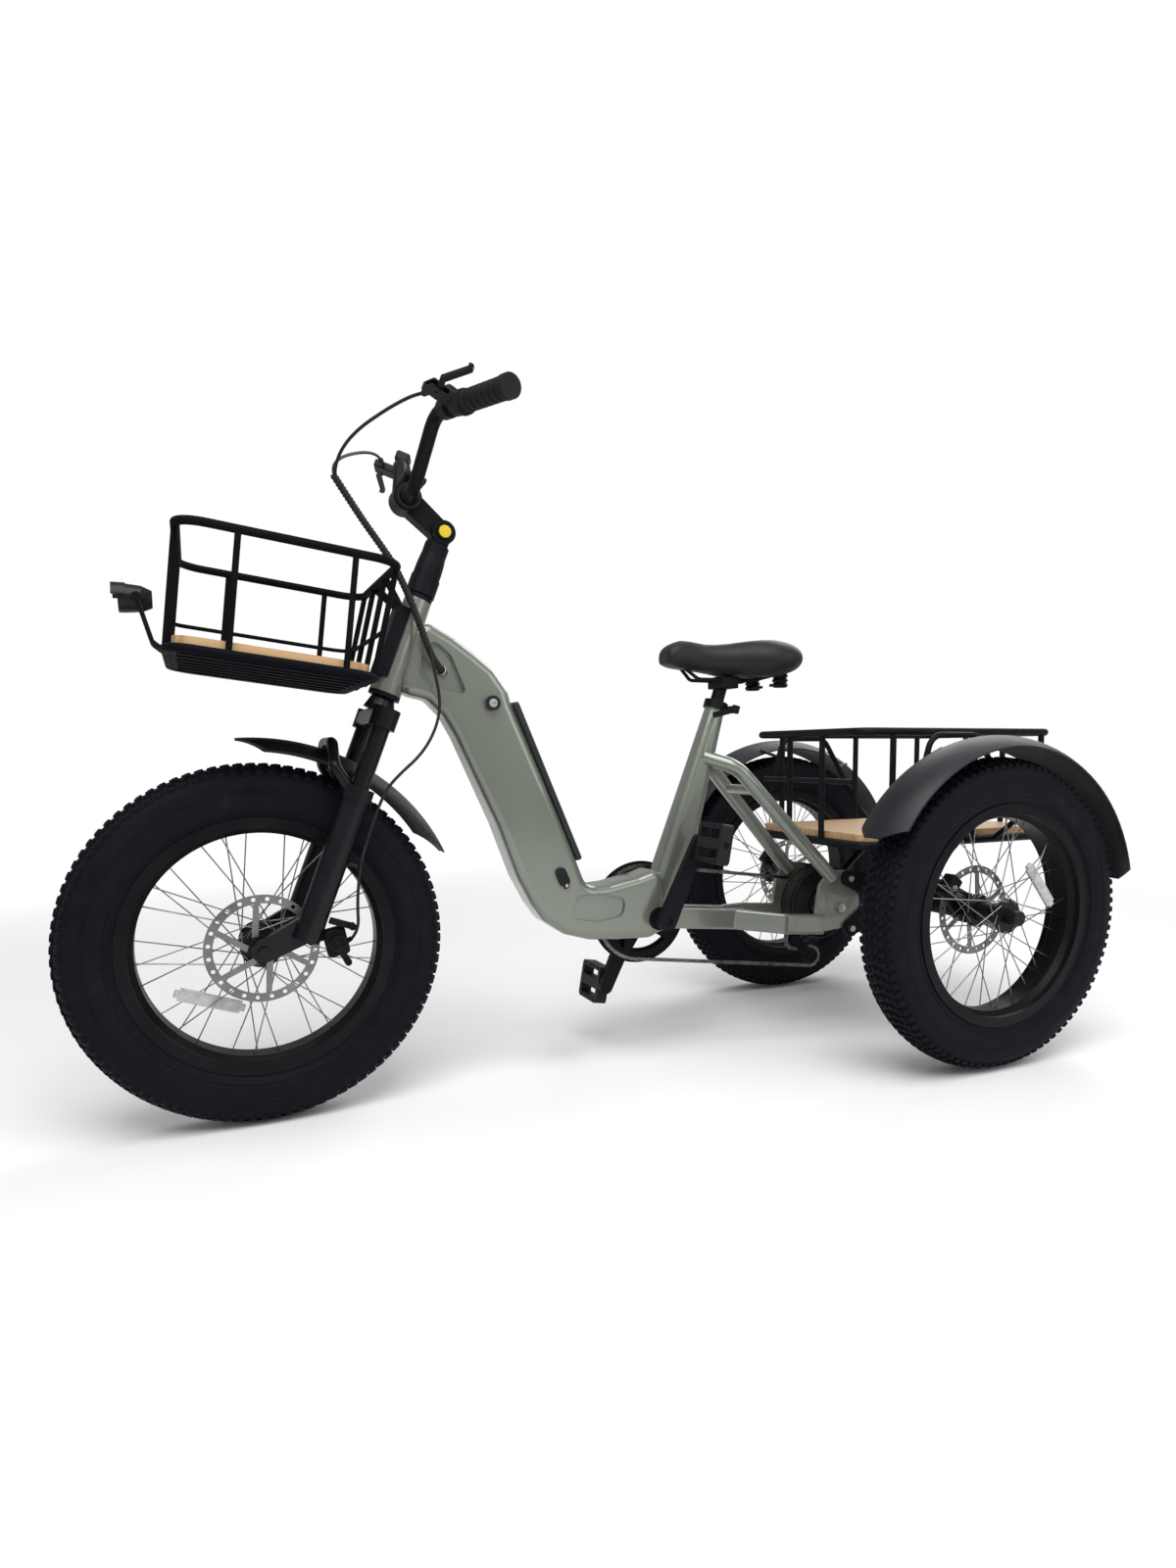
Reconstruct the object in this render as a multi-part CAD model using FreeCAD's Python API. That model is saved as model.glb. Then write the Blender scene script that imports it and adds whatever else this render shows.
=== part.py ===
import FreeCAD, Part
import math
import os

vec = FreeCAD.Vector

# Wheels
wheel_radius = 300.0
tyre_width = 98.0
tyre_wall = 5.0
tread_depth = 6.0
tread_drop = 4.5
knob_count = 36
rim_radius = 213.0
rim_width = 80.0
rim_depth = 27.0
rim_wall = 3.0
hub_flange_radius = 33.0
hub_flange_spread = 34.0
hub_barrel_radius = 20.0
hub_half_length = 67.0
spoke_radius = 1.1
spoke_count = 36
rotor_radius = 88.0
rotor_thickness = 2.0
rotor_stand = 46.0
front_axle_radius = 6.0

# Layout
wheelbase = 1284.0
rear_track = 716.0
head_angle = 69.0
fork_offset = 54.0
crank_x = 555.0
crank_z = 285.0
seat_angle = 72.3
seat_tube_length = 450.0
seat_foot_back = 15.0
motor_drop = 17.0
motor_lead = 145.0

# Fits
run_gap = 0.3
bearing_gap = 0.05
seat_in = 0.3

# Steering
fork_travel = 60.0
leg_spread = 82.0
stanchion_radius = 15.0
leg_radius = 22.0
leg_top = 297.0
crown_height = 34.0
crown_depth = 40.0
head_gap = 32.0
head_length = 172.0
head_low_radius = 27.0
head_high_radius = 23.0
steerer_radius = 14.3
post_radius = 21.0
knuckle_rise = 123.0
knuckle_radius = 20.0
stem_width = 46.0
stem_reach = 75.0
stem_rise = 27.0
bar_radius = 11.1
bar_clamp_radius = 15.9
bar_width = 680.0
bar_rise = 105.0
bar_sweep = 70.0
bar_lead = 28.0
bar_bend = 45.0
grip_length = 128.0
grip_radius = 16.5

# Fenders
fender_gap = 38.0
fender_sheet = 3.0
fender_width = 106.0
rear_fender_width = 120.0
fender_drop = 20.0
front_fender_start = 86.0
front_fender_sweep = 70.0
rear_fender_start = 28.0
rear_fender_sweep = 144.0

# Frame
tube_width = 78.0
tube_nose_width = 50.0
tube_corner = 26.0
tube_edge = 17.0
shell_radius = 25.0
shell_half_length = 36.0
seat_tube_depth = 78.0
seat_tube_width = 56.0
seat_tube_top_radius = 20.0
seat_post_radius = 13.6
stay_half_spread = 80.0
chain_stay_height = 42.0
chain_stay_width = 20.0
seat_stay_radius = 15.0
dropout_sheet = 10.0
battery_width = 54.0
battery_depth = 76.0
battery_cap_rise = 12.0
battery_cap_width = 66.0
lock_radius = 13.0
socket_radius = 12.0
trim_rise = 5.0

# Drive
chain_pitch = 12.7
roller_radius = 3.7
ring_teeth = 48
cog_teeth = 22
drive_teeth = 16
axle_teeth = 24
jockey_teeth = 11
sprocket_sheet = 2.2
chain_plane = 47.0
axle_chain_plane = 38.0
crank_length = 170.0
crank_turn = 115.0
crank_sheet = 15.0
crank_stand = 62.0
pedal_length = 92.0
pedal_depth = 78.0
pedal_height = 24.0
pedal_turn = 80.0
motor_radius = 76.0
motor_half_width = 26.0
motor_axle_radius = 6.0
drum_radius = 40.0
drum_half_width = 34.0
shaft_radius = 8.5
spindle_radius = 9.0

# Rear axle and rack
axle_tube_radius = 21.0
axle_tube_wall = 4.0
axle_tube_start = 50.0
axle_tube_end = 285.0
arm_sheet = 8.0
deck_z = 445.0
deck_board = 14.0
rack_rise = 206.0
rack_front = 180.0
rack_back = 340.0
rack_half_width = 192.0
rack_tube = 8.0
rack_bend = 34.0
hoop_spread = 252.0

# Basket
basket_back = 1108.0
basket_length = 290.0
basket_half_width = 182.0
basket_rise = 158.0
basket_z = 748.0
basket_tilt = 7.0
basket_tube = 6.5
basket_wire = 3.5
basket_board = 12.0
basket_bend = 40.0
basket_flare = 20.0

# Lamp
lamp_radius = 22.0
lamp_length = 46.0
lamp_lead = 37.0
lamp_rise = 104.0

# Saddle
saddle_length = 282.0
saddle_width = 212.0
saddle_rise = 70.0
saddle_height = 834.0
saddle_nose_width = 62.0
rail_radius = 3.6

# Cables
bundle_radius = 6.5
cable_radius = 2.6
top_slack = 40.0
cassette_teeth = [13, 15, 18, 22, 26, 30]
caliper_angle = 163.0

# Outlines and routes, as shares of the sizes above
crown_share = 0.86
ring_share = 0.09
ring_shares = [-0.76, -0.51, -0.26, 0.0, 0.26, 0.51, 0.76]
arch_shares = [(1.0, 0.1, -0.25), (1.0, 0.8, 0.35), (0.62, 1.0, 1.0)]
arch_shares += [(-0.62, 1.0, 1.0), (-1.0, 0.8, 0.35), (-1.0, 0.1, -0.25)]
bar_shares = [(1.0, 1.0, 0.98), (0.4, 0.18, 1.0), (0.2, 0.0, 0.0)]
lever_share = 1.08
lever_out_share = 3.6
frame_upper_shares = [(1.03, 0.077), (0.931, 0.109), (0.869, 0.121), (0.809, 0.129), (0.747, 0.12),
                      (0.717, 0.103)]
frame_upper_shares += [(0.295, -0.057), (0.223, -0.086), (0.18, -0.034), (0.133, 0.039), (0.097, 0.111)]
frame_lower_shares = [(0.931, -0.094), (0.869, -0.051), (0.813, -0.05), (0.753, -0.065),
                      (0.522, -0.145)]
frame_lower_shares += [(0.384, -0.204), (0.302, -0.227), (0.245, -0.235), (0.177, -0.22),
                       (0.113, -0.183)]
frame_lower_shares += [(0.049, -0.126), (-0.022, -0.056), (-0.043, -0.002)]
bay_shares = [(0.295, -0.057), (0.717, 0.103)]
pocket_shares = [(0.955, 0.015), (0.968, 0.045), (0.955, 0.066), (0.91, 0.07), (0.81, 0.032),
                 (0.844, 0.006)]
pocket_shares += [(0.891, -0.018), (0.925, -0.03)]
recess_shares = [(0.19, -0.075), (0.235, -0.125), (0.2, -0.18), (0.13, -0.13), (0.09, -0.07),
                 (0.12, -0.03)]
lock_share = (0.755, 0.062)
socket_share = (0.3, -0.118)
chain_stay_shares = [(0.93, 0.0, 0.0), (0.56, 0.04, 0.36), (0.34, 1.0, 0.58), (0.1, 1.0, 0.8)]
dropout_shares = [(0.38, -0.24), (0.34, -0.34), (-0.18, -0.3), (-0.36, -0.12), (-0.36, 0.32),
                  (-0.14, 0.54)]
dropout_shares += [(0.16, 0.56), (0.34, 0.34), (0.4, 0.0)]
jockey_shares = [(0.15, -0.62), (-0.12, -0.92)]
rack_post_shares = [(0.86, 1), (0.44, 1), (0.06, 1)]
hoop_shares = [(0.42, 0.0, 0.0), (0.42, 1.0, 0.28), (0.28, 1.0, 1.0), (-0.08, 1.0, 1.0),
               (-0.42, 1.0, 0.2), (-0.42, 0.0, 0.0)]
saddle_shares = [(0.0, 1.0), (0.45, 0.985), (0.8, 0.88), (0.98, 0.62), (1.0, 0.36), (0.86, 0.08),
                 (0.5, 0.02), (0.0, 0.0)]
saddle_station_shares = [(0.0, 0.72, 0.73, 0.3), (0.05, 0.92, 0.914, 0.16), (0.18, 1.0, 1.0, 0.04),
                         (0.34, 0.9, 0.97, 0.02)]
saddle_station_shares += [(0.5, 0.6, 0.886, 0.093), (0.68, 0.38, 0.857, 0.157), (0.86, 0.31, 0.914, 0.22),
                          (0.96, 0.28, 0.83, 0.27), (1.0, 0.2, 0.69, 0.315)]
bundle_shares = [(0.774, 0.43, 0.262), (0.38, 0.49, 0.016), (-0.1, 0.55, -0.366), (-0.5, 0.53, -0.68),
                 (-0.76, 0.42, -0.8), (-1.0, 0.16, -0.84)]
loop_shares = [(2.38, 0.36, 1.016), (1.63, 0.36, 0.65), (1.1, 0.4, 0.42), (0.79, 0.43, 0.27)]
brake_cable_shares = [(-0.43, 0.67, 1.287), (-0.73, 0.66, 1.2), (-1.01, 0.67, 1.11), (-1.1, 0.73, 1.01)]
brake_cable_shares += [(-0.98, 0.85, 0.89), (-0.62, 0.98, 0.77), (-0.46, 1.05, 0.69), (-0.46, 1.07, 0.5)]
brake_cable_shares += [(-0.5, 1.1, 0.4), (-0.68, 1.1, 0.27), (-0.93, 1.04, 0.16), (-0.8, 0.88, 0.11)]

lean = math.radians(90.0 - head_angle)
fore = vec(math.cos(lean), 0, math.sin(lean))
up = vec(-math.sin(lean), 0, math.cos(lean))
front_axle = vec(wheelbase, 0, wheel_radius)
rear_axle = vec(0, 0, wheel_radius)
fork_origin = front_axle - fore * fork_offset
fork_place = FreeCAD.Placement(fork_origin, FreeCAD.Rotation(vec(0, 1, 0), head_angle - 90.0))
fender_radius = wheel_radius + fender_gap
crown_low = fender_radius + fork_travel + fender_sheet
crown_high = crown_low + crown_height
head_low = crown_high + head_gap
head_high = head_low + head_length
knuckle_high = head_high + knuckle_rise
head_middle = fork_origin + up * (head_low + head_length / 2)
crank_centre = vec(crank_x, 0, crank_z)
seat_lean = math.radians(seat_angle)
seat_up = vec(-math.cos(seat_lean), 0, math.sin(seat_lean))
seat_fore = vec(math.sin(seat_lean), 0, math.cos(seat_lean))
seat_foot = crank_centre - vec(seat_foot_back, 0, 0)
seat_top = seat_foot + seat_up * seat_tube_length
rear_half = rear_track / 2
rear_reach = max(fender_radius + fender_sheet, rack_back + rack_tube)
front_reach = wheelbase + wheel_radius
middle_x = (front_reach - rear_reach) / 2
cup_lip = head_gap * 0.24
motor_z = wheel_radius - motor_drop


# Chain runs
def circle_radius(teeth):
    return chain_pitch * teeth / (2 * math.pi)


def belt_path(wheels):
    # Runs and wraps round circles given as (x, z, radius, turn), turn +1 anticlockwise
    count = len(wheels)
    spans = []
    for i in range(count):
        x0, z0, r0, t0 = wheels[i]
        x1, z1, r1, t1 = wheels[(i + 1) % count]
        gap = math.hypot(x1 - x0, z1 - z0)
        heading = math.atan2(z1 - z0, x1 - x0)
        tilt = math.asin((r0 * t0 - r1 * t1) / gap)
        angle = heading - math.pi / 2 + tilt
        leave = angle if t0 > 0 else angle + math.pi
        meet = angle if t1 > 0 else angle + math.pi
        first = (x0 + r0 * math.cos(leave), z0 + r0 * math.sin(leave))
        second = (x1 + r1 * math.cos(meet), z1 + r1 * math.sin(meet))
        spans.append((first, second, leave, meet))
    parts = []
    for i in range(count):
        first, second, leave, meet = spans[i]
        parts.append(("run", first, second, math.hypot(second[0] - first[0], second[1] - first[1])))
        x, z, r, t = wheels[(i + 1) % count]
        out = spans[(i + 1) % count][2]
        sweep = (out - meet) * t % (2 * math.pi)
        parts.append(("wrap", (x, z, r, t, meet), sweep, r * sweep))
    return parts


def belt_length(wheels):
    return sum(part[3] for part in belt_path(wheels))


def axle_wheels(lead):
    first = (lead, motor_z, circle_radius(drive_teeth), 1)
    second = (0.0, wheel_radius, circle_radius(axle_teeth), 1)
    return [first, second]


def settled_lead():
    # Motor position that makes the axle chain a whole number of link pairs
    pairs = round(belt_length(axle_wheels(motor_lead)) / (2 * chain_pitch))
    low = motor_lead - chain_pitch * 2
    high = motor_lead + chain_pitch * 2
    for i in range(60):
        middle = (low + high) / 2
        if belt_length(axle_wheels(middle)) < pairs * 2 * chain_pitch:
            low = middle
        else:
            high = middle
    return low


motor_x = settled_lead()


# Plain forms
def rod(start, end, radius):
    line = end - start
    return Part.makeCylinder(radius, line.Length, start, line)


def sleeve(start, end, outer, inner):
    return rod(start, end, outer).cut(rod(start, end, inner))


def cone(start, end, radius, end_radius):
    line = end - start
    return Part.makeCone(radius, end_radius, line.Length, start, line)


def fused(shapes):
    return shapes[0].multiFuse(shapes[1:]).removeSplitter()


def group(shapes):
    solids = []
    for shape in shapes:
        solids.extend(shape.Solids)
    return Part.makeCompound(solids)


def largest(shape):
    return max(shape.Solids, key=lambda solid: solid.Volume)


def without_slivers(shape):
    # Drops the scraps that a cut leaves beside the main solids
    least = largest(shape).Volume * 0.02
    return group([solid for solid in shape.Solids if solid.Volume > least])


def flipped(shape):
    return shape.mirror(vec(0, 0, 0), vec(0, 1, 0))


def moved(shape, place):
    copy = shape.copy()
    copy.Placement = place.multiply(copy.Placement)
    return copy


def shifted(shape, offset):
    return moved(shape, FreeCAD.Placement(offset, FreeCAD.Rotation()))


def turned(shape, axis, angle, centre):
    copy = shape.copy()
    copy.rotate(centre, axis, angle)
    return copy


def path_wire(points, bend, closed=False):
    count = len(points)
    edges = []
    starts = []
    ends = []
    for i in range(count):
        corner = points[i]
        if not closed and i in (0, count - 1):
            starts.append(corner)
            ends.append(corner)
            continue
        back = points[i - 1] - corner
        ahead = points[(i + 1) % count] - corner
        angle = math.pi - back.getAngle(ahead)
        if angle < math.radians(1.0):
            starts.append(corner)
            ends.append(corner)
            continue
        room = min(back.Length, ahead.Length) * 0.48
        run = min(bend * math.tan(angle / 2), room)
        starts.append(corner + back.normalize() * run)
        ends.append(corner + ahead.normalize() * run)
    for i in range(count):
        if starts[i].distanceToPoint(ends[i]) > run_gap / 100:
            corner = points[i]
            toward = ((starts[i] + ends[i]) * 0.5 - corner).normalize()
            half = corner.distanceToPoint(starts[i])
            chord = starts[i].distanceToPoint(ends[i]) / 2
            rise = math.sqrt(half * half - chord * chord)
            radius = half * chord / rise
            centre = math.sqrt(radius * radius + half * half)
            edges.append(Part.Arc(starts[i], corner + toward * (centre - radius), ends[i]).toShape())
        last = i == count - 1
        if last and not closed:
            break
        after = starts[(i + 1) % count]
        if ends[i].distanceToPoint(after) > run_gap / 100:
            edges.append(Part.LineSegment(ends[i], after).toShape())
    return Part.Wire(edges)


def swept(wire, radius):
    edge = wire.Edges[0]
    start = edge.valueAt(edge.FirstParameter)
    heading = edge.tangentAt(edge.FirstParameter)
    ring = Part.Wire(Part.makeCircle(radius, start, heading))
    return wire.makePipeShell([ring], True, False)


def bent_rod(points, radius, bend, closed=False):
    return swept(path_wire(points, bend, closed), radius)


def slab(points, low, high, bend=0.0):
    corners = [vec(x, low, z) for x, z in points]
    if bend > 0:
        wire = path_wire(corners, bend, True)
    else:
        wire = Part.makePolygon(corners + corners[:1])
    return Part.Face(wire).extrude(vec(0, high - low, 0))


def spun(points, angle=360.0):
    corners = [vec(r, y, 0) for r, y in points]
    face = Part.Face(Part.makePolygon(corners + corners[:1]))
    return face.revolve(vec(0, 0, 0), vec(0, 1, 0), angle)


def block(low, high):
    size = high - low
    return Part.makeBox(size.x, size.y, size.z, low)


def soft_block(low, high, radius):
    shape = block(low, high)
    return shape.makeFillet(radius, shape.Edges)


def beam(start, end, height, width, edge):
    line = end - start
    shape = block(vec(0, -width / 2, -height / 2), vec(line.Length, width / 2, height / 2))
    long_edges = [e for e in shape.Edges if abs(e.tangentAt(e.FirstParameter).x) > 0.9]
    shape = shape.makeFillet(edge, long_edges)
    side = vec(0, 0, 1).cross(line).normalize()
    turn = FreeCAD.Rotation(line, side, line.cross(side), "XYZ")
    return moved(shape, FreeCAD.Placement(start, turn))


def bent_bar(points, height, width, bend):
    wire = path_wire(points, bend)
    line = (points[1] - points[0]).normalize()
    side = vec(0, 0, 1).cross(line).normalize()
    rise = line.cross(side)
    corners = []
    for across, high in ((1, 1), (-1, 1), (-1, -1), (1, -1)):
        corners.append(points[0] + side * (width / 2 * across) + rise * (height / 2 * high))
    section = path_wire(corners, width * 0.3, True)
    return wire.makePipeShell([section], True, False)


def link_plate(first, second, radius, end_radius, low, high):
    # Stadium between two points in the XZ plane
    gap = math.hypot(second[0] - first[0], second[1] - first[1])
    heading = math.atan2(second[1] - first[1], second[0] - first[0])
    open_angle = math.acos((radius - end_radius) / gap)

    def at(centre, size, angle):
        return vec(centre[0] + size * math.cos(angle), low, centre[1] + size * math.sin(angle))

    a = at(first, radius, heading + open_angle)
    b = at(first, radius, heading + math.pi)
    c = at(first, radius, heading - open_angle)
    d = at(second, end_radius, heading - open_angle)
    e = at(second, end_radius, heading)
    f = at(second, end_radius, heading + open_angle)
    edges = [Part.Arc(a, b, c).toShape(), Part.LineSegment(c, d).toShape()]
    edges += [Part.Arc(d, e, f).toShape(), Part.LineSegment(f, a).toShape()]
    return Part.Face(Part.Wire(edges)).extrude(vec(0, high - low, 0))


def pin(x, z, low, high, radius):
    return rod(vec(x, low, z), vec(x, high, z), radius)


def hexagon(x, z, low, high, radius):
    corners = []
    for i in range(6):
        angle = math.pi * i / 3
        corners.append((x + radius * math.cos(angle), z + radius * math.sin(angle)))
    return slab(corners, low, high)


def first_fillet(shape, edges, radius):
    for share in (1.0, 0.8, 0.6, 0.4, 0.25):
        try:
            made = shape.makeFillet(radius * share, edges)
            if made.isValid() and made.Solids:
                return made
        except Exception:
            continue
    return shape


# Wheels
def make_tyre():
    half = tyre_width / 2
    bead = rim_width / 2 - rim_wall
    foot = rim_radius - rim_depth + rim_depth * 0.42
    lip = rim_radius + run_gap * 4
    wide = rim_radius + (wheel_radius - rim_radius) * 0.42
    shoulder = crown_edge() - tread_drop
    shoulder_half = half * crown_share
    outer = [(foot, bead), (lip, bead), (wide, half), (shoulder, shoulder_half)]
    inner = [(foot, bead - tyre_wall), (lip, bead - tyre_wall), (wide, half - tyre_wall)]
    inner.append((shoulder - tyre_wall, shoulder_half - tyre_wall))
    crown_in = wheel_radius - tyre_wall - tread_depth

    def at(p, side=1):
        return vec(p[0], p[1] * side, 0)

    edges = [Part.LineSegment(at(outer[0]), at(outer[1])).toShape()]
    edges.append(Part.Arc(at(outer[1]), at(outer[2]), at(outer[3])).toShape())
    edges.append(Part.Arc(at(outer[3]), vec(wheel_radius - tread_drop, 0, 0), at(outer[3], -1)).toShape())
    edges.append(Part.Arc(at(outer[3], -1), at(outer[2], -1), at(outer[1], -1)).toShape())
    edges.append(Part.LineSegment(at(outer[1], -1), at(outer[0], -1)).toShape())
    edges.append(Part.LineSegment(at(outer[0], -1), at(inner[0], -1)).toShape())
    edges.append(Part.LineSegment(at(inner[0], -1), at(inner[1], -1)).toShape())
    edges.append(Part.Arc(at(inner[1], -1), at(inner[2], -1), at(inner[3], -1)).toShape())
    edges.append(Part.Arc(at(inner[3], -1), vec(crown_in, 0, 0), at(inner[3])).toShape())
    edges.append(Part.Arc(at(inner[3]), at(inner[2]), at(inner[1])).toShape())
    edges.append(Part.LineSegment(at(inner[1]), at(inner[0])).toShape())
    edges.append(Part.LineSegment(at(inner[0]), at(outer[0])).toShape())
    casing = Part.Face(Part.Wire(edges)).revolve(vec(0, 0, 0), vec(0, 1, 0), 360.0)
    return fused([casing] + tread_rings())


def crown_edge():
    return wheel_radius - (wheel_radius - rim_radius) * 0.16


def tread_height(y):
    # Radius of the tread's outer face at a distance from the tyre's middle
    edge = tyre_width / 2 * crown_share
    drop = wheel_radius - crown_edge()
    bow = (edge * edge + drop * drop) / (2 * drop)
    return wheel_radius - bow + math.sqrt(bow * bow - y * y)


def tread_rings():
    half = tyre_width / 2
    wide = half * ring_share
    rings = []
    for share in ring_shares:
        low = half * share - wide
        high = half * share + wide
        foot = tread_height(half * share) - tread_depth * 1.4
        points = [(foot, low), (tread_height(low), low), (tread_height(high), high), (foot, high)]
        if abs(share) == max(ring_shares):
            rings += tread_knobs(points)
        else:
            rings.append(spun(points))
    return rings


def tread_knobs(points):
    turn = 360.0 / knob_count
    knob = spun(points, turn * 0.62)
    return [turned(knob, vec(0, 1, 0), turn * i, vec(0, 0, 0)) for i in range(knob_count)]


def make_rim():
    half = rim_width / 2
    seat = rim_radius - rim_depth + rim_depth * 0.42
    bed = rim_radius - rim_depth
    points = [(rim_radius, half), (rim_radius, half - rim_wall), (seat, half - rim_wall)]
    points += [(seat, half * 0.62), (bed + rim_wall, half * 0.42)]
    under = [(bed, half * 0.46), (seat - rim_wall, half * 0.7), (seat - rim_wall, half)]
    upper = points + [(r, -y) for r, y in reversed(points)]
    lower = [(r, -y) for r, y in reversed(under)] + under
    return spun(upper + lower)


def make_hub(bore, rotor_side=1):
    end = hub_half_length - run_gap
    flange = hub_flange_spread
    sheet = hub_flange_radius * 0.12
    barrel = hub_barrel_radius
    carrier = rotor_stand
    points = [(bore, -end), (barrel * 0.7, -end), (barrel * 0.7, -flange - sheet),
              (hub_flange_radius, -flange - sheet)]
    points += [(hub_flange_radius, -flange), (barrel, -flange + sheet), (barrel, flange - sheet)]
    points += [(hub_flange_radius, flange), (hub_flange_radius, flange + sheet)]
    points += [(barrel * 1.1, flange + sheet), (barrel * 1.1, carrier), (barrel * 0.7, carrier),
               (barrel * 0.7, end)]
    points += [(bore, end)]
    return spun(points)


def make_spokes(rim, hub):
    hole = hub_flange_radius * 0.86
    bed = rim_radius - rim_depth + seat_in
    sheet = hub_flange_radius * 0.12
    spokes = []
    per_side = spoke_count // 2
    for i in range(spoke_count):
        side = 1 if i % 2 == 0 else -1
        k = i // 2
        outside = k % 2 == 0
        base = 2 * math.pi * k / per_side + (0 if side > 0 else math.pi / per_side)
        swing = math.radians(76.0) * (1 if outside else -1)
        near = hub_flange_spread + sheet / 2
        clear = sheet / 2 + spoke_radius
        near = near + clear if outside else near - clear
        far = rim_width * (0.15 if outside else 0.06)
        start = vec(hole * math.cos(base), near * side, hole * math.sin(base))
        angle = base + swing
        end = vec(bed * math.cos(angle), far * side, bed * math.sin(angle))
        spokes.append(rod(start, end, spoke_radius))
    made = []
    for spoke in spokes:
        made.append(spoke.cut(rim).cut(hub))
    return group(made)


def make_rotor():
    band = rotor_radius * 0.84
    boss = hub_barrel_radius * 1.05
    low = rotor_stand
    high = low + rotor_thickness
    ring = sleeve(vec(0, low, 0), vec(0, high, 0), rotor_radius, band)
    eye = sleeve(vec(0, low, 0), vec(0, high, 0), boss, hub_barrel_radius * 0.7)
    pieces = [ring, eye]
    arm = rotor_radius * 0.1
    for i in range(6):
        angle = math.pi * i / 3
        near = boss
        far = (band + rotor_radius) / 2
        twist = 0.45
        first = (near * math.cos(angle), near * math.sin(angle))
        second = (far * math.cos(angle + twist), far * math.sin(angle + twist))
        pieces.append(link_plate(first, second, arm * 0.6, arm * 0.5, low, high))
    shape = fused(pieces)
    holes = []
    middle = (band + rotor_radius) / 2
    for i in range(24):
        angle = 2 * math.pi * (i + 0.5) / 24
        size = (rotor_radius - band) * 0.24
        holes.append(pin(middle * math.cos(angle), middle * math.sin(angle), low, high, size))
    return shape.cut(Part.makeCompound(holes))


# Steering
def make_fork_crown():
    pieces = []
    for side in (1, -1):
        y = leg_spread * side
        pieces.append(rod(vec(0, y, crown_low), vec(0, y, crown_high), leg_radius))
    half = crown_depth / 2
    low = crown_low + crown_height * 0.12
    deck = block(vec(-half, -leg_spread, low), vec(half, leg_spread, crown_high))
    long_edges = [e for e in deck.Edges if abs(e.tangentAt(e.FirstParameter).y) > 0.9]
    pieces.append(deck.makeFillet(crown_height * 0.24, long_edges))
    race = head_low - cup_lip - run_gap
    pieces.append(cone(vec(0, 0, crown_high), vec(0, 0, race), head_low_radius, steerer_radius * 1.35))
    pieces.append(rod(vec(0, 0, crown_low), vec(0, 0, knuckle_high - knuckle_radius * 2),
                      steerer_radius))
    shape = fused(pieces)
    for side in (1, -1):
        y = leg_spread * side
        shape = shape.cut(rod(vec(0, y, 0), vec(0, y, crown_high - rim_wall), stanchion_radius))
    return shape


def make_stanchions():
    low = leg_radius * 1.6 + rim_wall * 2 + fork_travel
    pieces = []
    for side in (1, -1):
        y = leg_spread * side
        pieces.append(rod(vec(0, y, low), vec(0, y, crown_high - rim_wall), stanchion_radius))
    return group(pieces)


def make_fork_lowers():
    low = leg_radius * 1.6
    plate = dropout_sheet
    inner = hub_half_length + run_gap
    pieces = []
    for side in (1, -1):
        y = leg_spread * side
        pieces.append(rod(vec(0, y, low), vec(0, y, leg_top), leg_radius))
        pieces.append(rod(vec(0, y, leg_top - leg_radius), vec(0, y, leg_top), leg_radius * 1.12))
        near = inner if side > 0 else -inner - plate * 1.4
        toe = link_plate((0, low * 1.6), (fork_offset, 0), leg_radius, leg_radius * 0.8, near,
                         near + plate * 1.4)
        pieces.append(toe)
    points = []
    for share_y, share_x, share_z in arch_shares:
        points.append(vec((fork_offset + arch_lead) * share_x, leg_spread * share_y,
                          leg_top + (arch_high - leg_top) * share_z))
    pieces.append(bent_rod(points, leg_radius * 0.42, leg_radius))
    clip = fork_path(brake_cable_shares[8:9], 0.0, crown_high)[0]
    tip = clip + vec(cable_radius + run_gap * 3, 0, 0)
    pieces.append(rod(vec(-leg_radius * 0.8, leg_spread, clip.z), tip, cable_radius * 1.3))
    shape = fused(pieces)
    for side in (1, -1):
        y = leg_spread * side
        bore = stanchion_radius + run_gap
        shape = shape.cut(rod(vec(0, y, low + rim_wall), vec(0, y, leg_top * 2), bore))
    shape = shape.cut(pin(fork_offset, 0, -leg_spread * 2, leg_spread * 2, front_axle_radius))
    return shape


arch_lead = fork_offset * 0.12
arch_high = fender_radius + fender_sheet * 5


def make_front_axle():
    end = leg_spread + leg_radius * 0.45
    nut = front_axle_radius * 1.6
    outside = hub_half_length + run_gap + dropout_sheet * 1.4
    shape = pin(0, 0, -end, end, front_axle_radius)
    nuts = [hexagon(0, 0, outside, outside + nut, nut), hexagon(0, 0, -outside - nut, -outside, nut)]
    return fused([shape] + nuts)


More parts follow.
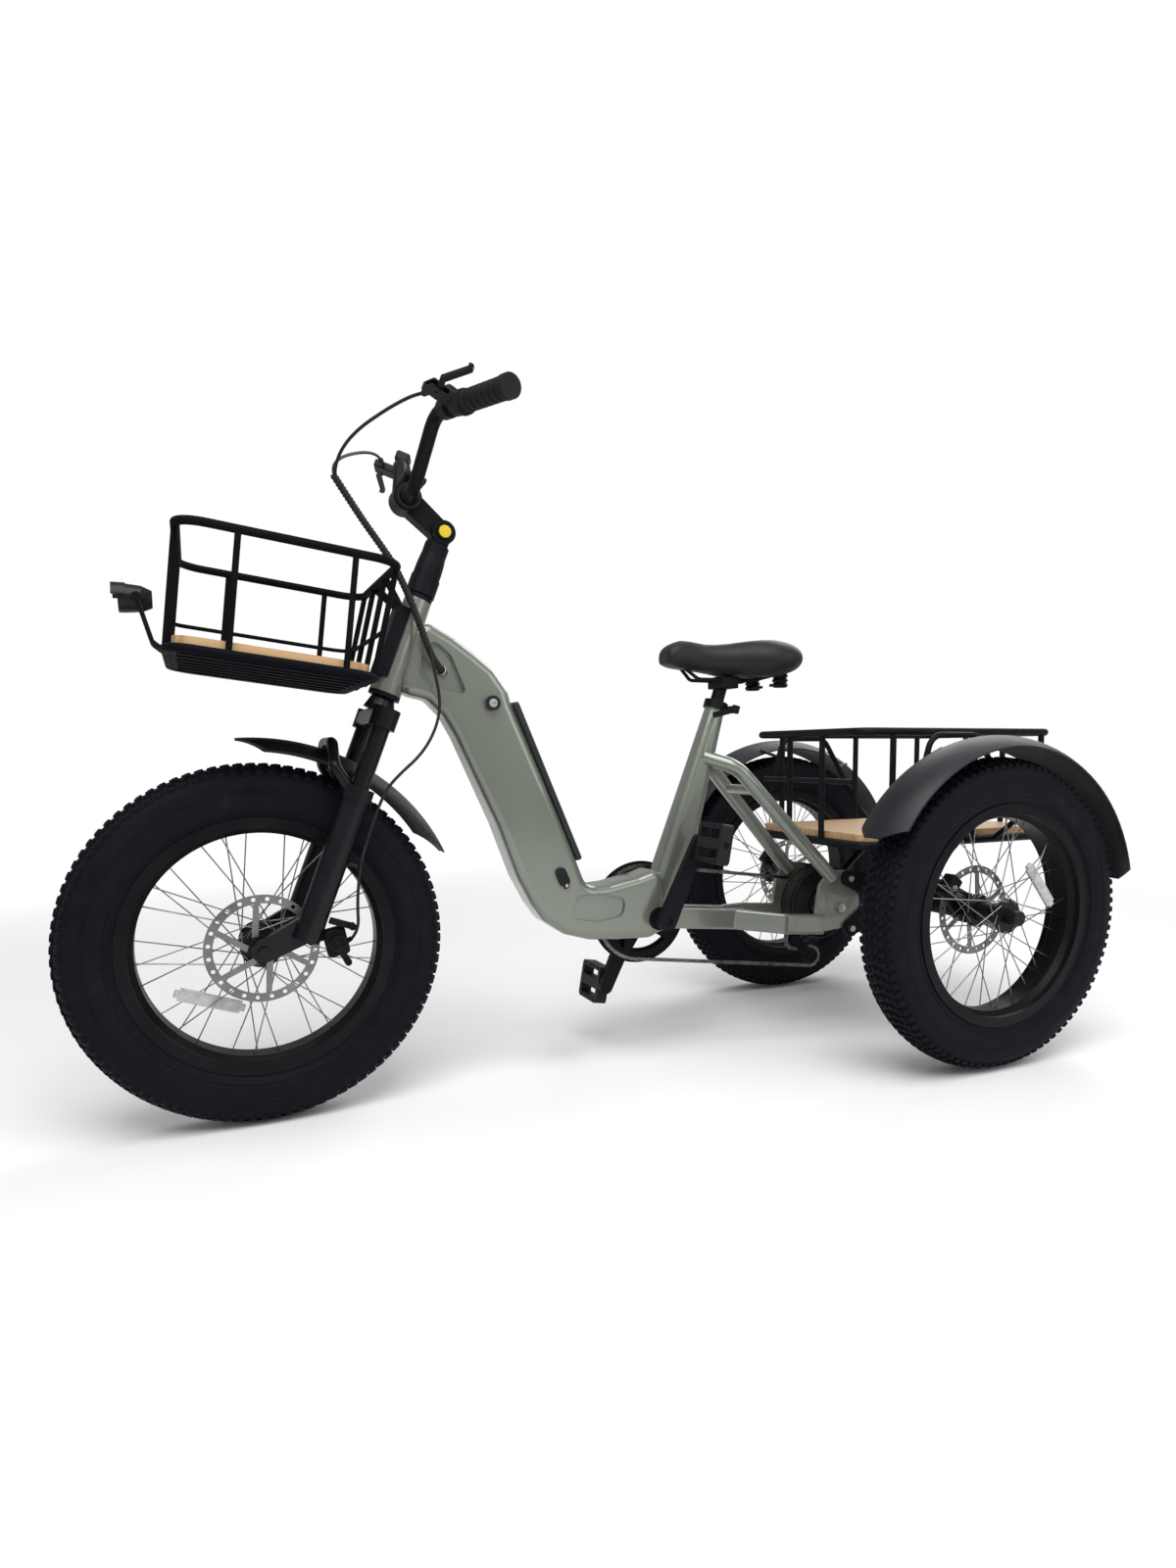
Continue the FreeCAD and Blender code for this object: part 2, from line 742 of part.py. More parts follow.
def fender_band(width, start, sweep, lead):
    # Arched sheet spun about the wheel's axle
    half = width / 2
    crest = fender_radius
    edge = crest - fender_drop

    def arc(extra):
        a = vec(edge + extra, half, 0)
        b = vec(crest + extra, 0, 0)
        c = vec(edge + extra, -half, 0)
        return Part.Arc(a, b, c).toShape(), a, c

    inner, inner_a, inner_c = arc(0.0)
    outer, outer_a, outer_c = arc(fender_sheet)
    sides = [Part.LineSegment(inner_a, outer_a).toShape(), Part.LineSegment(inner_c, outer_c).toShape()]
    face = Part.Face(Part.Wire(Part.__sortEdges__([inner, outer] + sides)))
    face.rotate(vec(0, 0, 0), vec(0, 1, 0), -start)
    band = face.revolve(vec(0, 0, 0), vec(0, 1, 0), -sweep)
    cutters = []
    for angle, back in ((start, 1), (start + sweep, -1)):
        for side in (1, -1):
            out = lead * 0.1 * back
            tip = [vec(out, half * 0.2 * side, 0), vec(out, half * 1.3 * side, 0),
                   vec(-lead * back, half * 1.3 * side, 0)]
            wedge = Part.Face(Part.makePolygon(tip + tip[:1])).extrude(vec(0, 0, crest))
            wedge.translate(vec(0, 0, crest * 0.5))
            wedge.rotate(vec(0, 0, 0), vec(0, 1, 0), 90.0 - angle)
            cutters.append(wedge)
    return band.cut(Part.makeCompound(cutters))


def make_front_fender(lowers):
    band = fender_band(fender_width, front_fender_start, front_fender_sweep, fender_width * 0.6)
    spot = fork_offset + arch_lead
    post = rod(vec(spot, 0, fender_radius - fender_sheet), vec(spot, 0, arch_high), leg_radius * 0.32)
    crest = moved(post, fork_place).cut(lowers)
    hollow = rod(front_axle - vec(0, tyre_width, 0), front_axle + vec(0, tyre_width, 0),
                 fender_radius + fender_sheet / 2)
    return fused([shifted(band, front_axle), crest.cut(hollow)])


def make_stem_post():
    low = head_high + head_gap * 0.3
    ear = stem_width / 2
    slot = stem_width * 0.31
    pieces = [rod(vec(0, 0, low), vec(0, 0, knuckle_high - knuckle_radius * 0.6), post_radius)]
    pieces.append(pin(0, knuckle_high, -ear, ear, knuckle_radius))
    pieces.append(rod(vec(0, 0, low), vec(0, 0, low + head_gap), post_radius * 1.18))
    shape = fused(pieces)
    gap = block(vec(-knuckle_radius * 2, -slot, knuckle_high - knuckle_radius - run_gap * 4),
                vec(knuckle_radius * 2, slot, knuckle_high + knuckle_radius * 2))
    shape = shape.cut(gap)
    shape = shape.cut(rod(vec(0, 0, 0), vec(0, 0, knuckle_high - knuckle_radius * 2), steerer_radius))
    return shape.cut(pin(0, knuckle_high, -stem_width, stem_width, knuckle_radius * 0.3))


def make_stem_cap():
    ear = stem_width / 2
    cap = knuckle_radius * 0.66
    rise = knuckle_radius * 0.2
    bolt = pin(0, knuckle_high, -ear - rise, ear + rise, knuckle_radius * 0.3)
    pieces = [bolt]
    for side in (1, -1):
        low = ear if side > 0 else -ear - rise
        pieces.append(pin(0, knuckle_high, low, low + rise, cap))
    return fused(pieces)


bar_x = stem_reach
bar_z = knuckle_high + stem_rise


def make_stem_head():
    slot = stem_width * 0.31 - run_gap
    barrel = pin(0, knuckle_high, -slot, slot, knuckle_radius)
    arm = link_plate((0, knuckle_high), (bar_x, bar_z), knuckle_radius * 0.86, knuckle_radius, -slot,
                     slot)
    ring = pin(bar_x, bar_z, -stem_width / 2, stem_width / 2, bar_clamp_radius * 1.5)
    shape = fused([barrel, arm, ring])
    shape = shape.cut(pin(bar_x, bar_z, -stem_width, stem_width, bar_clamp_radius))
    return shape.cut(pin(0, knuckle_high, -stem_width, stem_width, knuckle_radius * 0.3 + run_gap))


def bar_points():
    half = bar_width / 2
    points = []
    for share_y, share_back, share_rise in bar_shares:
        points.append(vec(bar_x - bar_sweep * share_back + bar_lead * share_rise, half * share_y,
                          bar_z + bar_rise * share_rise))
    left = points
    right = [vec(p.x, -p.y, p.z) for p in reversed(points)]
    return left + right


def make_handlebar():
    shape = bent_rod(bar_points(), bar_radius, bar_bend)
    swell = stem_width * 0.62
    taper = stem_width * 0.3
    middle = rod(vec(bar_x, -swell, bar_z), vec(bar_x, swell, bar_z), bar_clamp_radius)
    ends = []
    for side in (1, -1):
        first = vec(bar_x, swell * side, bar_z)
        second = vec(bar_x, (swell + taper) * side, bar_z)
        ends.append(cone(first, second, bar_clamp_radius, bar_radius))
    return fused([shape, middle] + ends)


def bar_end_axis():
    points = bar_points()
    line = (points[1] - points[0]).normalize()
    return points[0], line


def make_grips():
    end, line = bar_end_axis()
    start = end - line * (bar_radius * 0.4)
    shape = rod(start, end + line * grip_length, grip_radius * 0.92)
    collar = rod(end + line * (grip_length * 0.93), end + line * grip_length, grip_radius * 1.15)
    tail = rod(start, end + line * (grip_length * 0.06), grip_radius * 1.08)
    rings = []
    for i in range(6):
        low = grip_length * (0.14 + i * 0.13)
        rings.append(rod(end + line * low, end + line * (low + grip_length * 0.07), grip_radius))
    shape = fused([shape, collar, tail] + rings)
    shape = shape.cut(rod(end, end + line * (grip_length * 2), bar_radius))
    return group([shape, flipped(shape)])


def lever_frame():
    # Origin on the bar inside the grip, x along the bar to its end, y ahead, z up
    end, line = bar_end_axis()
    origin = end + line * (grip_length * lever_share)
    ahead = vec(0, 0, 1).cross(line).normalize()
    if ahead.x < 0:
        ahead = ahead * -1
    out = line * -1
    return FreeCAD.Placement(origin, FreeCAD.Rotation(out, ahead, out.cross(ahead), "XYZ"))


def make_lever_mounts():
    half = grip_radius * 0.62
    ring = rod(vec(-half, 0, 0), vec(half, 0, 0), bar_radius * 1.5)
    stand = bar_radius * lever_out_share
    body = soft_block(vec(-half * 2.4, bar_radius * 0.6, -half * 0.7),
                      vec(half, stand * 1.35, half * 0.7), half * 0.3)
    nose = rod(vec(-half * 2.2, stand, 0), vec(-half * 4.2, stand, 0), half * 0.5)
    shape = fused([ring, body, nose])
    slot = block(vec(-half * 1.4, stand * 0.62, -half * 0.34), vec(half * 2, stand * 2, half * 0.34))
    shape = shape.cut(slot)
    shape = shape.cut(rod(vec(-half * 3, 0, 0), vec(half * 3, 0, 0), bar_radius))
    shape = shape.cut(rod(vec(0, stand, -half * 2), vec(0, stand, half * 2), half * 0.3 - run_gap))
    left = moved(shape, lever_frame())
    return group([left, flipped(left)])


def make_left_lever():
    half = grip_radius * 0.62
    stand = bar_radius * lever_out_share
    sheet = half * 0.34 - run_gap
    reach = grip_length * 0.92
    pivot = rod(vec(0, stand, -sheet), vec(0, stand, sheet), half * 0.6)
    points = [(-half * 0.5, stand - half * 0.5), (-half * 0.5, stand + half * 0.5),
              (half, stand + half * 0.55)]
    points += [(reach * 0.3, stand + half * 1.5), (reach * 0.94, stand + half * 1.2),
               (reach, stand + half * 1.7)]
    points += [(reach * 1.03, stand + half * 1.1), (reach * 0.95, stand + half * 0.4),
               (reach * 0.3, stand + half * 0.6)]
    points += [(half * 1.2, stand - half * 0.4)]
    corners = [vec(x, y, -sheet) for x, y in points]
    blade = Part.Face(path_wire(corners, half * 0.6, True)).extrude(vec(0, 0, sheet * 2))
    shape = fused([pivot, blade])
    shape = shape.cut(rod(vec(0, stand, -half * 2), vec(0, stand, half * 2), half * 0.3))
    bolt = rod(vec(0, stand, -sheet), vec(0, stand, sheet), half * 0.3)
    return moved(fused([shape, bolt]), lever_frame())


def make_controls():
    # A switch pod on each side and the display between them
    half = grip_radius * 0.62
    place = lever_frame()
    pod_in = -half * 3.6
    ring = rod(vec(pod_in - half, 0, 0), vec(pod_in + half, 0, 0), bar_radius * 1.45)
    low = vec(pod_in - half * 1.6, -bar_radius * 0.8, -bar_radius * 2.6)
    pod = soft_block(low, vec(pod_in + half * 1.6, bar_radius * 1.6, -bar_radius * 0.8), half * 0.5)
    bore = rod(vec(pod_in - half * 3, 0, 0), vec(pod_in + half * 3, 0, 0), bar_radius)
    pod = moved(fused([ring, pod]).cut(bore), place)
    screen = grip_length * 0.3
    sheet = bar_radius * 0.9
    top = bar_clamp_radius * 1.9
    case = soft_block(vec(-screen * 0.5, -screen * 0.8, top),
                      vec(screen * 0.5, screen * 0.8, top + sheet), sheet * 0.3)
    feet = []
    for side in (1, -1):
        y = stem_width * 0.58 * side
        hold = sleeve(vec(0, y - half * 0.3, 0), vec(0, y + half * 0.3, 0), bar_clamp_radius * 1.3,
                      bar_clamp_radius)
        post = rod(vec(0, y, bar_clamp_radius * 1.1), vec(0, y, top + sheet * 0.5), half * 0.28)
        feet.append(hold)
        feet.append(post)
    case = fused([case] + feet)
    case = case.cut(rod(vec(0, -stem_width, 0), vec(0, stem_width, 0), bar_clamp_radius))
    case = shifted(case, vec(bar_x, 0, bar_z))
    return group([pod, flipped(pod), case])


# Frame
frame_line = head_middle - crank_centre
frame_side = vec(-frame_line.z, 0, frame_line.x)


def frame_point(share, y=0.0):
    spot = crank_centre + frame_line * share[0] + frame_side * share[1]
    return vec(spot.x, y, spot.z)


bay_foot = frame_point(bay_shares[0])
bay_line = frame_point(bay_shares[1]) - bay_foot
bay_length = bay_line.Length
bay_along = bay_line * (1 / bay_length)
bay_out = vec(-bay_along.z, 0, bay_along.x)
bay_place = FreeCAD.Placement(bay_foot, FreeCAD.Rotation(bay_along, vec(0, 1, 0), bay_out, "XYZ"))


def make_down_tube():
    order = frame_lower_shares + list(reversed(frame_upper_shares))
    points = [(frame_point(s).x, frame_point(s).z) for s in order]
    half = tube_width / 2
    nose = tube_nose_width / 2
    shape = slab(points, -half, half, tube_corner)
    along = vec(frame_line).normalize()
    reach = (head_middle - crank_centre).Length
    across = vec(-along.z, 0, along.x)
    plan_shares = [(-0.3, half), (0.5, half), (1.2, nose * 0.8), (1.2, -nose * 0.8), (0.5, -half),
                   (-0.3, -half)]
    corners = []
    for share, y in plan_shares:
        corners.append(crank_centre + along * (reach * share) + vec(0, y, 0) - across * reach)
    prism = Part.Face(Part.makePolygon(corners + corners[:1])).extrude(across * (reach * 2))
    shape = shape.common(prism)
    edges = []
    for e in shape.Edges:
        ends = [v.Point for v in e.Vertexes]
        on_side = [abs(p.y) > nose * 0.7 for p in ends]
        same = [p.y * ends[0].y > 0 for p in ends]
        if all(on_side) and all(same):
            edges.append(e)
    return first_fillet(shape, edges, tube_edge)


def seat_section(distance, depth, width, corner):
    middle = seat_foot + seat_up * distance
    corners = []
    for fore_side, y_side in ((1, 1), (-1, 1), (-1, -1), (1, -1)):
        corners.append(middle + seat_fore * (depth / 2 * fore_side) + vec(0, width / 2 * y_side, 0))
    return path_wire(corners, corner, True)


def make_seat_tube():
    top = seat_tube_top_radius
    low = seat_section(0.0, seat_tube_depth * 1.08, seat_tube_width, seat_tube_width * 0.3)
    high = seat_section(seat_tube_length * 0.95, top * 2, top * 2, top * 0.94)
    body = Part.makeLoft([low, high], True, True)
    neck = rod(seat_foot + seat_up * (seat_tube_length * 0.9), seat_top, top)
    return fused([body, neck])


def make_main_frame():
    down = make_down_tube()
    head = moved(cone(vec(0, 0, head_low), vec(0, 0, head_high), head_low_radius, head_high_radius),
                 fork_place)
    shell = rod(crank_centre - vec(0, shell_half_length, 0),
                crank_centre + vec(0, shell_half_length, 0), shell_radius)
    shape = fused([down, head, shell, make_seat_tube()])
    whole = shape.copy()
    bay = block(vec(run_gap, -battery_width / 2 - run_gap, -battery_depth - run_gap),
                vec(bay_length - run_gap, battery_width / 2 + run_gap, battery_depth))
    shape = shape.cut(moved(bay, bay_place))
    axis_bore = rod(vec(0, 0, crown_low), vec(0, 0, knuckle_high), head_high_radius * 0.8)
    shape = shape.cut(moved(axis_bore, fork_place))
    shape = shape.cut(rod(crank_centre - vec(0, tube_width, 0), crank_centre + vec(0, tube_width, 0),
                          shell_radius * 0.72))
    for side in (1, -1):
        ends = sorted((shell_half_length * side, tube_width * side))
        shape = shape.cut(pin(crank_x, crank_z, ends[0], ends[1], shell_radius * 0.94))
    shape = shape.cut(rod(seat_foot + seat_up * (seat_tube_length * 0.4),
                          seat_top + seat_up * top_slack, seat_post_radius + bearing_gap))
    for shares, deep in ((pocket_shares, 0.16), (recess_shares, 0.07)):
        points = [(frame_point(s).x, frame_point(s).z) for s in shares]
        for side in (1, -1):
            near = tube_width / 2 * (0.8 if deep > 0.08 else 1.0) * side
            far = near - tube_width * deep * side
            low, high = min(near, far), max(near, far)
            high = high if side < 0 else tube_width
            low = low if side > 0 else -tube_width
            shape = shape.cut(slab(points, low, high, tube_corner * 0.6))
    spot = frame_point(lock_share)
    shape = shape.cut(pin(spot.x, spot.z, tube_width / 2 - trim_rise * 2, tube_width, lock_radius * 0.8))
    shape = shape.cut(socket_oval(0.62, tube_width / 2 - trim_rise * 2, tube_width))
    return shape, whole


def make_battery():
    half = battery_width / 2
    pack = soft_block(vec(run_gap * 2, -half, -battery_depth),
                      vec(bay_length - run_gap * 2, half, battery_cap_rise), half * 0.12)
    cap_half = battery_cap_width / 2
    rise = battery_cap_rise
    cap = soft_block(vec(-run_gap, -cap_half, run_gap), vec(bay_length + run_gap, cap_half, rise),
                     rise * 0.36)
    ends = block(vec(-bay_length, -tube_width, -battery_depth * 2),
                 vec(run_gap * 2, tube_width, battery_depth))
    shape = fused([pack, cap])
    shape = shape.cut(ends)
    return moved(shape, bay_place)


def socket_oval(share, low, high):
    # Oval along the tube at the charge socket, wide by a share of the socket's size
    middle = frame_point(socket_share)
    reach = bay_along * (socket_radius * 0.75)
    first = (middle.x - reach.x, middle.z - reach.z)
    second = (middle.x + reach.x, middle.z + reach.z)
    return link_plate(first, second, socket_radius * share, socket_radius * share, low, high)


def make_trim():
    # Lock body and charge socket set into the left side
    face = tube_width / 2
    spot = frame_point(lock_share)
    deep = trim_rise * 2
    lock = pin(spot.x, spot.z, face - deep, face, lock_radius * 0.8)
    lock = fused([lock, pin(spot.x, spot.z, face, face + trim_rise, lock_radius)])
    lock = lock.cut(pin(spot.x, spot.z, face - trim_rise, face + deep, lock_radius * 0.6))
    socket = fused([socket_oval(0.62, face - deep, face), socket_oval(0.8, face, face + trim_rise * 0.5)])
    socket = socket.cut(socket_oval(0.46, face - trim_rise, face + deep))
    return group([lock, socket])


def make_key_barrel():
    face = tube_width / 2
    spot = frame_point(lock_share)
    barrel = pin(spot.x, spot.z, face - trim_rise + run_gap, face + trim_rise * 0.9,
                 lock_radius * 0.6 - run_gap)
    slot_half = lock_radius * 0.1
    slot = block(vec(spot.x - lock_radius * 0.4, face + trim_rise * 0.2, spot.z - slot_half),
                 vec(spot.x + lock_radius * 0.4, face + trim_rise * 2, spot.z + slot_half))
    return barrel.cut(slot)


def flap_hinge():
    spot = frame_point(socket_share) - bay_along * (socket_radius * 1.85)
    return vec(spot.x, tube_width / 2 + trim_rise * 0.5 + run_gap, spot.z)


def make_flap():
    hinge = flap_hinge()
    face = hinge.y
    front = face + trim_rise * 0.6
    neck = hinge + bay_along * (socket_radius * 0.4)
    root = hinge + bay_along * socket_radius
    tab = link_plate((neck.x, neck.z), (root.x, root.z), socket_radius * 0.4, socket_radius * 0.5, face,
                     front)
    plug = socket_oval(0.46 - run_gap * 2 / socket_radius, face - trim_rise * 0.8, face)
    thick = trim_rise * 0.24
    reach = bay_out * (socket_radius * 0.4)
    knuckle = rod(hinge - reach, hinge + reach, thick)
    return fused([socket_oval(0.84, face, front), tab, plug, knuckle])


def make_cups():
    pieces = []
    bore = head_high_radius * 0.8
    clear = steerer_radius + bearing_gap
    for end, out, size in ((head_low, -1, head_low_radius), (head_high, 1, head_high_radius)):
        lip = cup_lip
        flange = sleeve(vec(0, 0, end), vec(0, 0, end + lip * out), size, clear)
        skirt = sleeve(vec(0, 0, end - lip * out), vec(0, 0, end), bore, clear)
        pieces.append(moved(fused([flange, skirt]), fork_place))
    shell = shell_radius * 0.72
    spindle = spindle_radius + bearing_gap
    for side in (1, -1):
        end = shell_half_length * side
        lip = shell_radius * 0.2 * side
        flange = sleeve(crank_centre + vec(0, end, 0), crank_centre + vec(0, end + lip, 0),
                        shell_radius * 0.9, spindle)
        skirt = sleeve(crank_centre + vec(0, end - lip * 2, 0), crank_centre + vec(0, end, 0), shell,
                       spindle)
        pieces.append(fused([flange, skirt]))
    ring = axle_tube_radius * 0.5
    for side in (1, -1):
        for low in (axle_tube_start, axle_tube_end - ring):
            first = vec(0, low * side, wheel_radius)
            second = vec(0, (low + ring) * side, wheel_radius)
            pieces.append(sleeve(first, second, axle_tube_radius - axle_tube_wall,
                                 shaft_radius + bearing_gap))
    return group(pieces)


hang_x = motor_x - motor_lead * 0.1
hang_z = motor_z - motor_lead * 0.28
hang_radius = motor_axle_radius * 1.1


def make_rear_stays(frame):
    inner = stay_half_spread - dropout_sheet / 2
    outer = stay_half_spread + dropout_sheet / 2
    plate_points = [(motor_x + x, motor_z + z) for x, z in dropout_shares_scaled()]
    sides = []
    for side in (1, -1):
        points = []
        for share_x, share_y, share_z in chain_stay_shares:
            x = motor_x + (crank_x - motor_x) * share_x
            y = stay_start + (stay_half_spread - stay_start) * share_y
            points.append(vec(x, y * side, motor_z - chain_stay_height * share_z))
        stay = bent_bar(points, chain_stay_height, chain_stay_width, chain_stay_width)
        low, high = (inner, outer) if side > 0 else (-outer, -inner)
        plate = slab(plate_points, low, high, dropout_sheet)
        top = seat_foot + seat_up * (seat_tube_length * 0.74)
        out = top + vec(-seat_stay_radius * 3.5, seat_stay_radius * 3.6 * side, -seat_stay_radius * 1.4)
        foot = vec(motor_x + seat_stay_radius, stay_half_spread * side, motor_z + motor_radius * 0.82)
        points = [top + vec(0, seat_stay_radius * 0.8 * side, 0), out, foot]
        bow = bent_rod(points, seat_stay_radius, seat_stay_radius * 4.6)
        sides.append(fused([stay, plate, bow]))
        spot = out + (foot - out) * 0.2
        sides.append(spot)
    bridge = rod(sides[1], sides[3], seat_stay_radius * 0.7)
    shape = fused([sides[0], sides[2], bridge])
    shape = shape.cut(frame)
    hook = pin(hang_x, hang_z, -stay_half_spread * 2, 0, hang_radius)
    shape = shape.cut(hook)
    return shape.cut(pin(motor_x, motor_z, -stay_half_spread * 2, stay_half_spread * 2,
                         motor_axle_radius))


stay_start = shell_half_length * 0.72


def dropout_shares_scaled():
    return [(x * motor_lead, z * motor_lead) for x, z in dropout_shares]


def make_axle_housing():
    inner = stay_half_spread + dropout_sheet / 2
    pieces = []
    for side in (1, -1):
        first = vec(0, axle_tube_start * side, wheel_radius)
        second = vec(0, axle_tube_end * side, wheel_radius)
        pieces.append(rod(first, second, axle_tube_radius))
        low, high = (inner, inner + arm_sheet) if side > 0 else (-inner - arm_sheet, -inner)
        eye = (0.0, wheel_radius)
        for end_share in ((0.9, 0.42), (0.86, -0.32)):
            tip = (motor_lead * end_share[0], motor_z + motor_lead * end_share[1])
            pieces.append(link_plate(eye, tip, axle_tube_radius * 1.7, axle_tube_radius * 0.8, low,
                                     high))
        flange = vec(0, (axle_tube_end - arm_sheet) * side, wheel_radius)
        pieces.append(rod(flange, second, axle_tube_radius * 1.35))
    left = fused(pieces[:4])
    right = fused(pieces[4:])
    bore = axle_tube_radius - axle_tube_wall
    made = []
    for shape in (left, right):
        shape = shape.cut(pin(0, wheel_radius, -rear_half, rear_half, bore))
        shape = shape.cut(pin(motor_x, motor_z, -rear_half, rear_half, motor_axle_radius * 3.2))
        made.append(shape)
    return group(made)


def make_arm_bolts():
    inner = stay_half_spread + dropout_sheet / 2 + arm_sheet
    size = motor_axle_radius * 1.2
    pieces = []
    for side in (1, -1):
        for end_share in ((0.9, 0.42), (0.86, -0.32)):
            x = motor_lead * end_share[0]
            z = motor_z + motor_lead * end_share[1]
            low, high = (inner, inner + size) if side > 0 else (-inner - size, -inner)
            pieces.append(hexagon(x, z, low, high, size))
    return group(pieces)


def make_motor_axle():
    outer = stay_half_spread + dropout_sheet / 2
    nut = motor_axle_radius * 1.7
    end = outer + nut * 1.6
    shape = pin(motor_x, motor_z, -end, end, motor_axle_radius)
    nuts = [hexagon(motor_x, motor_z, outer, outer + nut, nut),
            hexagon(motor_x, motor_z, -outer - nut, -outer, nut)]
    return fused([shape] + nuts)


# Drive
def sprocket(centre, teeth, plane, bore, phase, sheet):
    radius = circle_radius(teeth)
    root = roller_radius * 1.14
    root_half = roller_radius * 0.66
    flank = chain_pitch / 2 - roller_radius * 0.57
    points = []
    for i in range(teeth):
        middle = phase + 2 * math.pi * i / teeth
        spots = [(-root_half, -root), (root_half, -root), (flank, 0.0),
                 (chain_pitch * 0.43, roller_radius * 0.7)]
        nexts = [(-flank, 0.0)]
        for across, out in nexts + spots:
            away = radius + out
            angle = middle + across / radius
            points.append((centre[0] + away * math.cos(angle), centre[1] + away * math.sin(angle)))
    body = slab(points, plane - sheet / 2, plane + sheet / 2)
    return body.cut(pin(centre[0], centre[1], plane - sheet, plane + sheet, bore))


def belt_spots(wheels, count):
    parts = belt_path(wheels)
    total = sum(part[3] for part in parts)
    spots = []
    for i in range(count):
        left = total * i / count
        for part in parts:
            if left <= part[3]:
                break
            left -= part[3]
        if part[0] == "run":
            share = left / part[3]
            spots.append((part[1][0] + (part[2][0] - part[1][0]) * share,
                          part[1][1] + (part[2][1] - part[1][1]) * share))
        else:
            x, z, r, t, meet = part[1]
            angle = meet + t * left / r
            spots.append((x + r * math.cos(angle), z + r * math.sin(angle)))
    return spots


def belt_phase(wheels, spots, index):
    x, z, r, t = wheels[index]
    near = min(spots, key=lambda s: abs(math.hypot(s[0] - x, s[1] - z) - r))
    return math.atan2(near[1] - z, near[0] - x)


def chain_links(spots, plane):
    count = len(spots)
    sheet = chain_pitch * 0.07
    inner = sprocket_sheet / 2 + run_gap * 2
    high = roller_radius * 1.05
    models = []
    for near in (inner, inner + sheet + run_gap * 0.4):
        pieces = []
        for side in (1, -1):
            low = near if side > 0 else -near - sheet
            points = [(-chain_pitch * 0.5 - high * 0.5, 0 - high * 0.86),
                      (chain_pitch * 0.5 + high * 0.5, -high * 0.86)]
            points += [(chain_pitch * 0.5 + high, 0.0), (chain_pitch * 0.5 + high * 0.5, high * 0.86)]
            points += [(-chain_pitch * 0.5 - high * 0.5, high * 0.86), (-chain_pitch * 0.5 - high, 0.0)]
            pieces.append(slab(points, low, low + sheet))
        models.append((near, pieces))
    rollers = models[0][1]
    pins = models[1][1]
    for end in (chain_pitch * 0.5, -chain_pitch * 0.5):
        roller = pin(end, 0, -inner - sheet * 0.5, inner + sheet * 0.5, roller_radius)
        rollers.append(roller)
        pins.append(pin(end, 0, -models[1][0] - sheet * 1.15, models[1][0] + sheet * 1.15,
                        roller_radius * 0.5))
    bore = roller_radius * 0.5 + run_gap * 0.4
    inner_link = fused(rollers)
    for end in (chain_pitch * 0.5, -chain_pitch * 0.5):
        inner_link = inner_link.cut(pin(end, 0, -chain_pitch, chain_pitch, bore))
    outer_link = fused(pins)
    made = []
    for i in range(count):
        first = spots[i]
        second = spots[(i + 1) % count]
        angle = math.degrees(math.atan2(second[1] - first[1], second[0] - first[0]))
        middle = vec((first[0] + second[0]) / 2, plane, (first[1] + second[1]) / 2)
        turn = FreeCAD.Rotation(vec(0, 1, 0), -angle)
        made.append(moved(inner_link if i % 2 else outer_link, FreeCAD.Placement(middle, turn)))
    return group(made)


def drive_wheels(slack):
    ring = (crank_x, crank_z, circle_radius(ring_teeth), 1)
    cog = (motor_x, motor_z, circle_radius(cog_teeth), 1)
    size = circle_radius(jockey_teeth)
    upper = (motor_x + motor_lead * jockey_shares[0][0], motor_z + motor_lead * jockey_shares[0][1],
             size, -1)
    lower = (motor_x + motor_lead * jockey_shares[1][0] - slack,
             motor_z + motor_lead * jockey_shares[1][1], size, 1)
    return [ring, cog, upper, lower]


def settled_drive():
    # Slack of the lower jockey wheel that makes the chain a whole number of link pairs
    start = belt_length(drive_wheels(0.0))
    pairs = math.ceil(start / (2 * chain_pitch))
    low, high = 0.0, chain_pitch * 3
    for i in range(60):
        middle = (low + high) / 2
        if belt_length(drive_wheels(middle)) < pairs * 2 * chain_pitch:
            low = middle
        else:
            high = middle
    return drive_wheels(low), pairs * 2


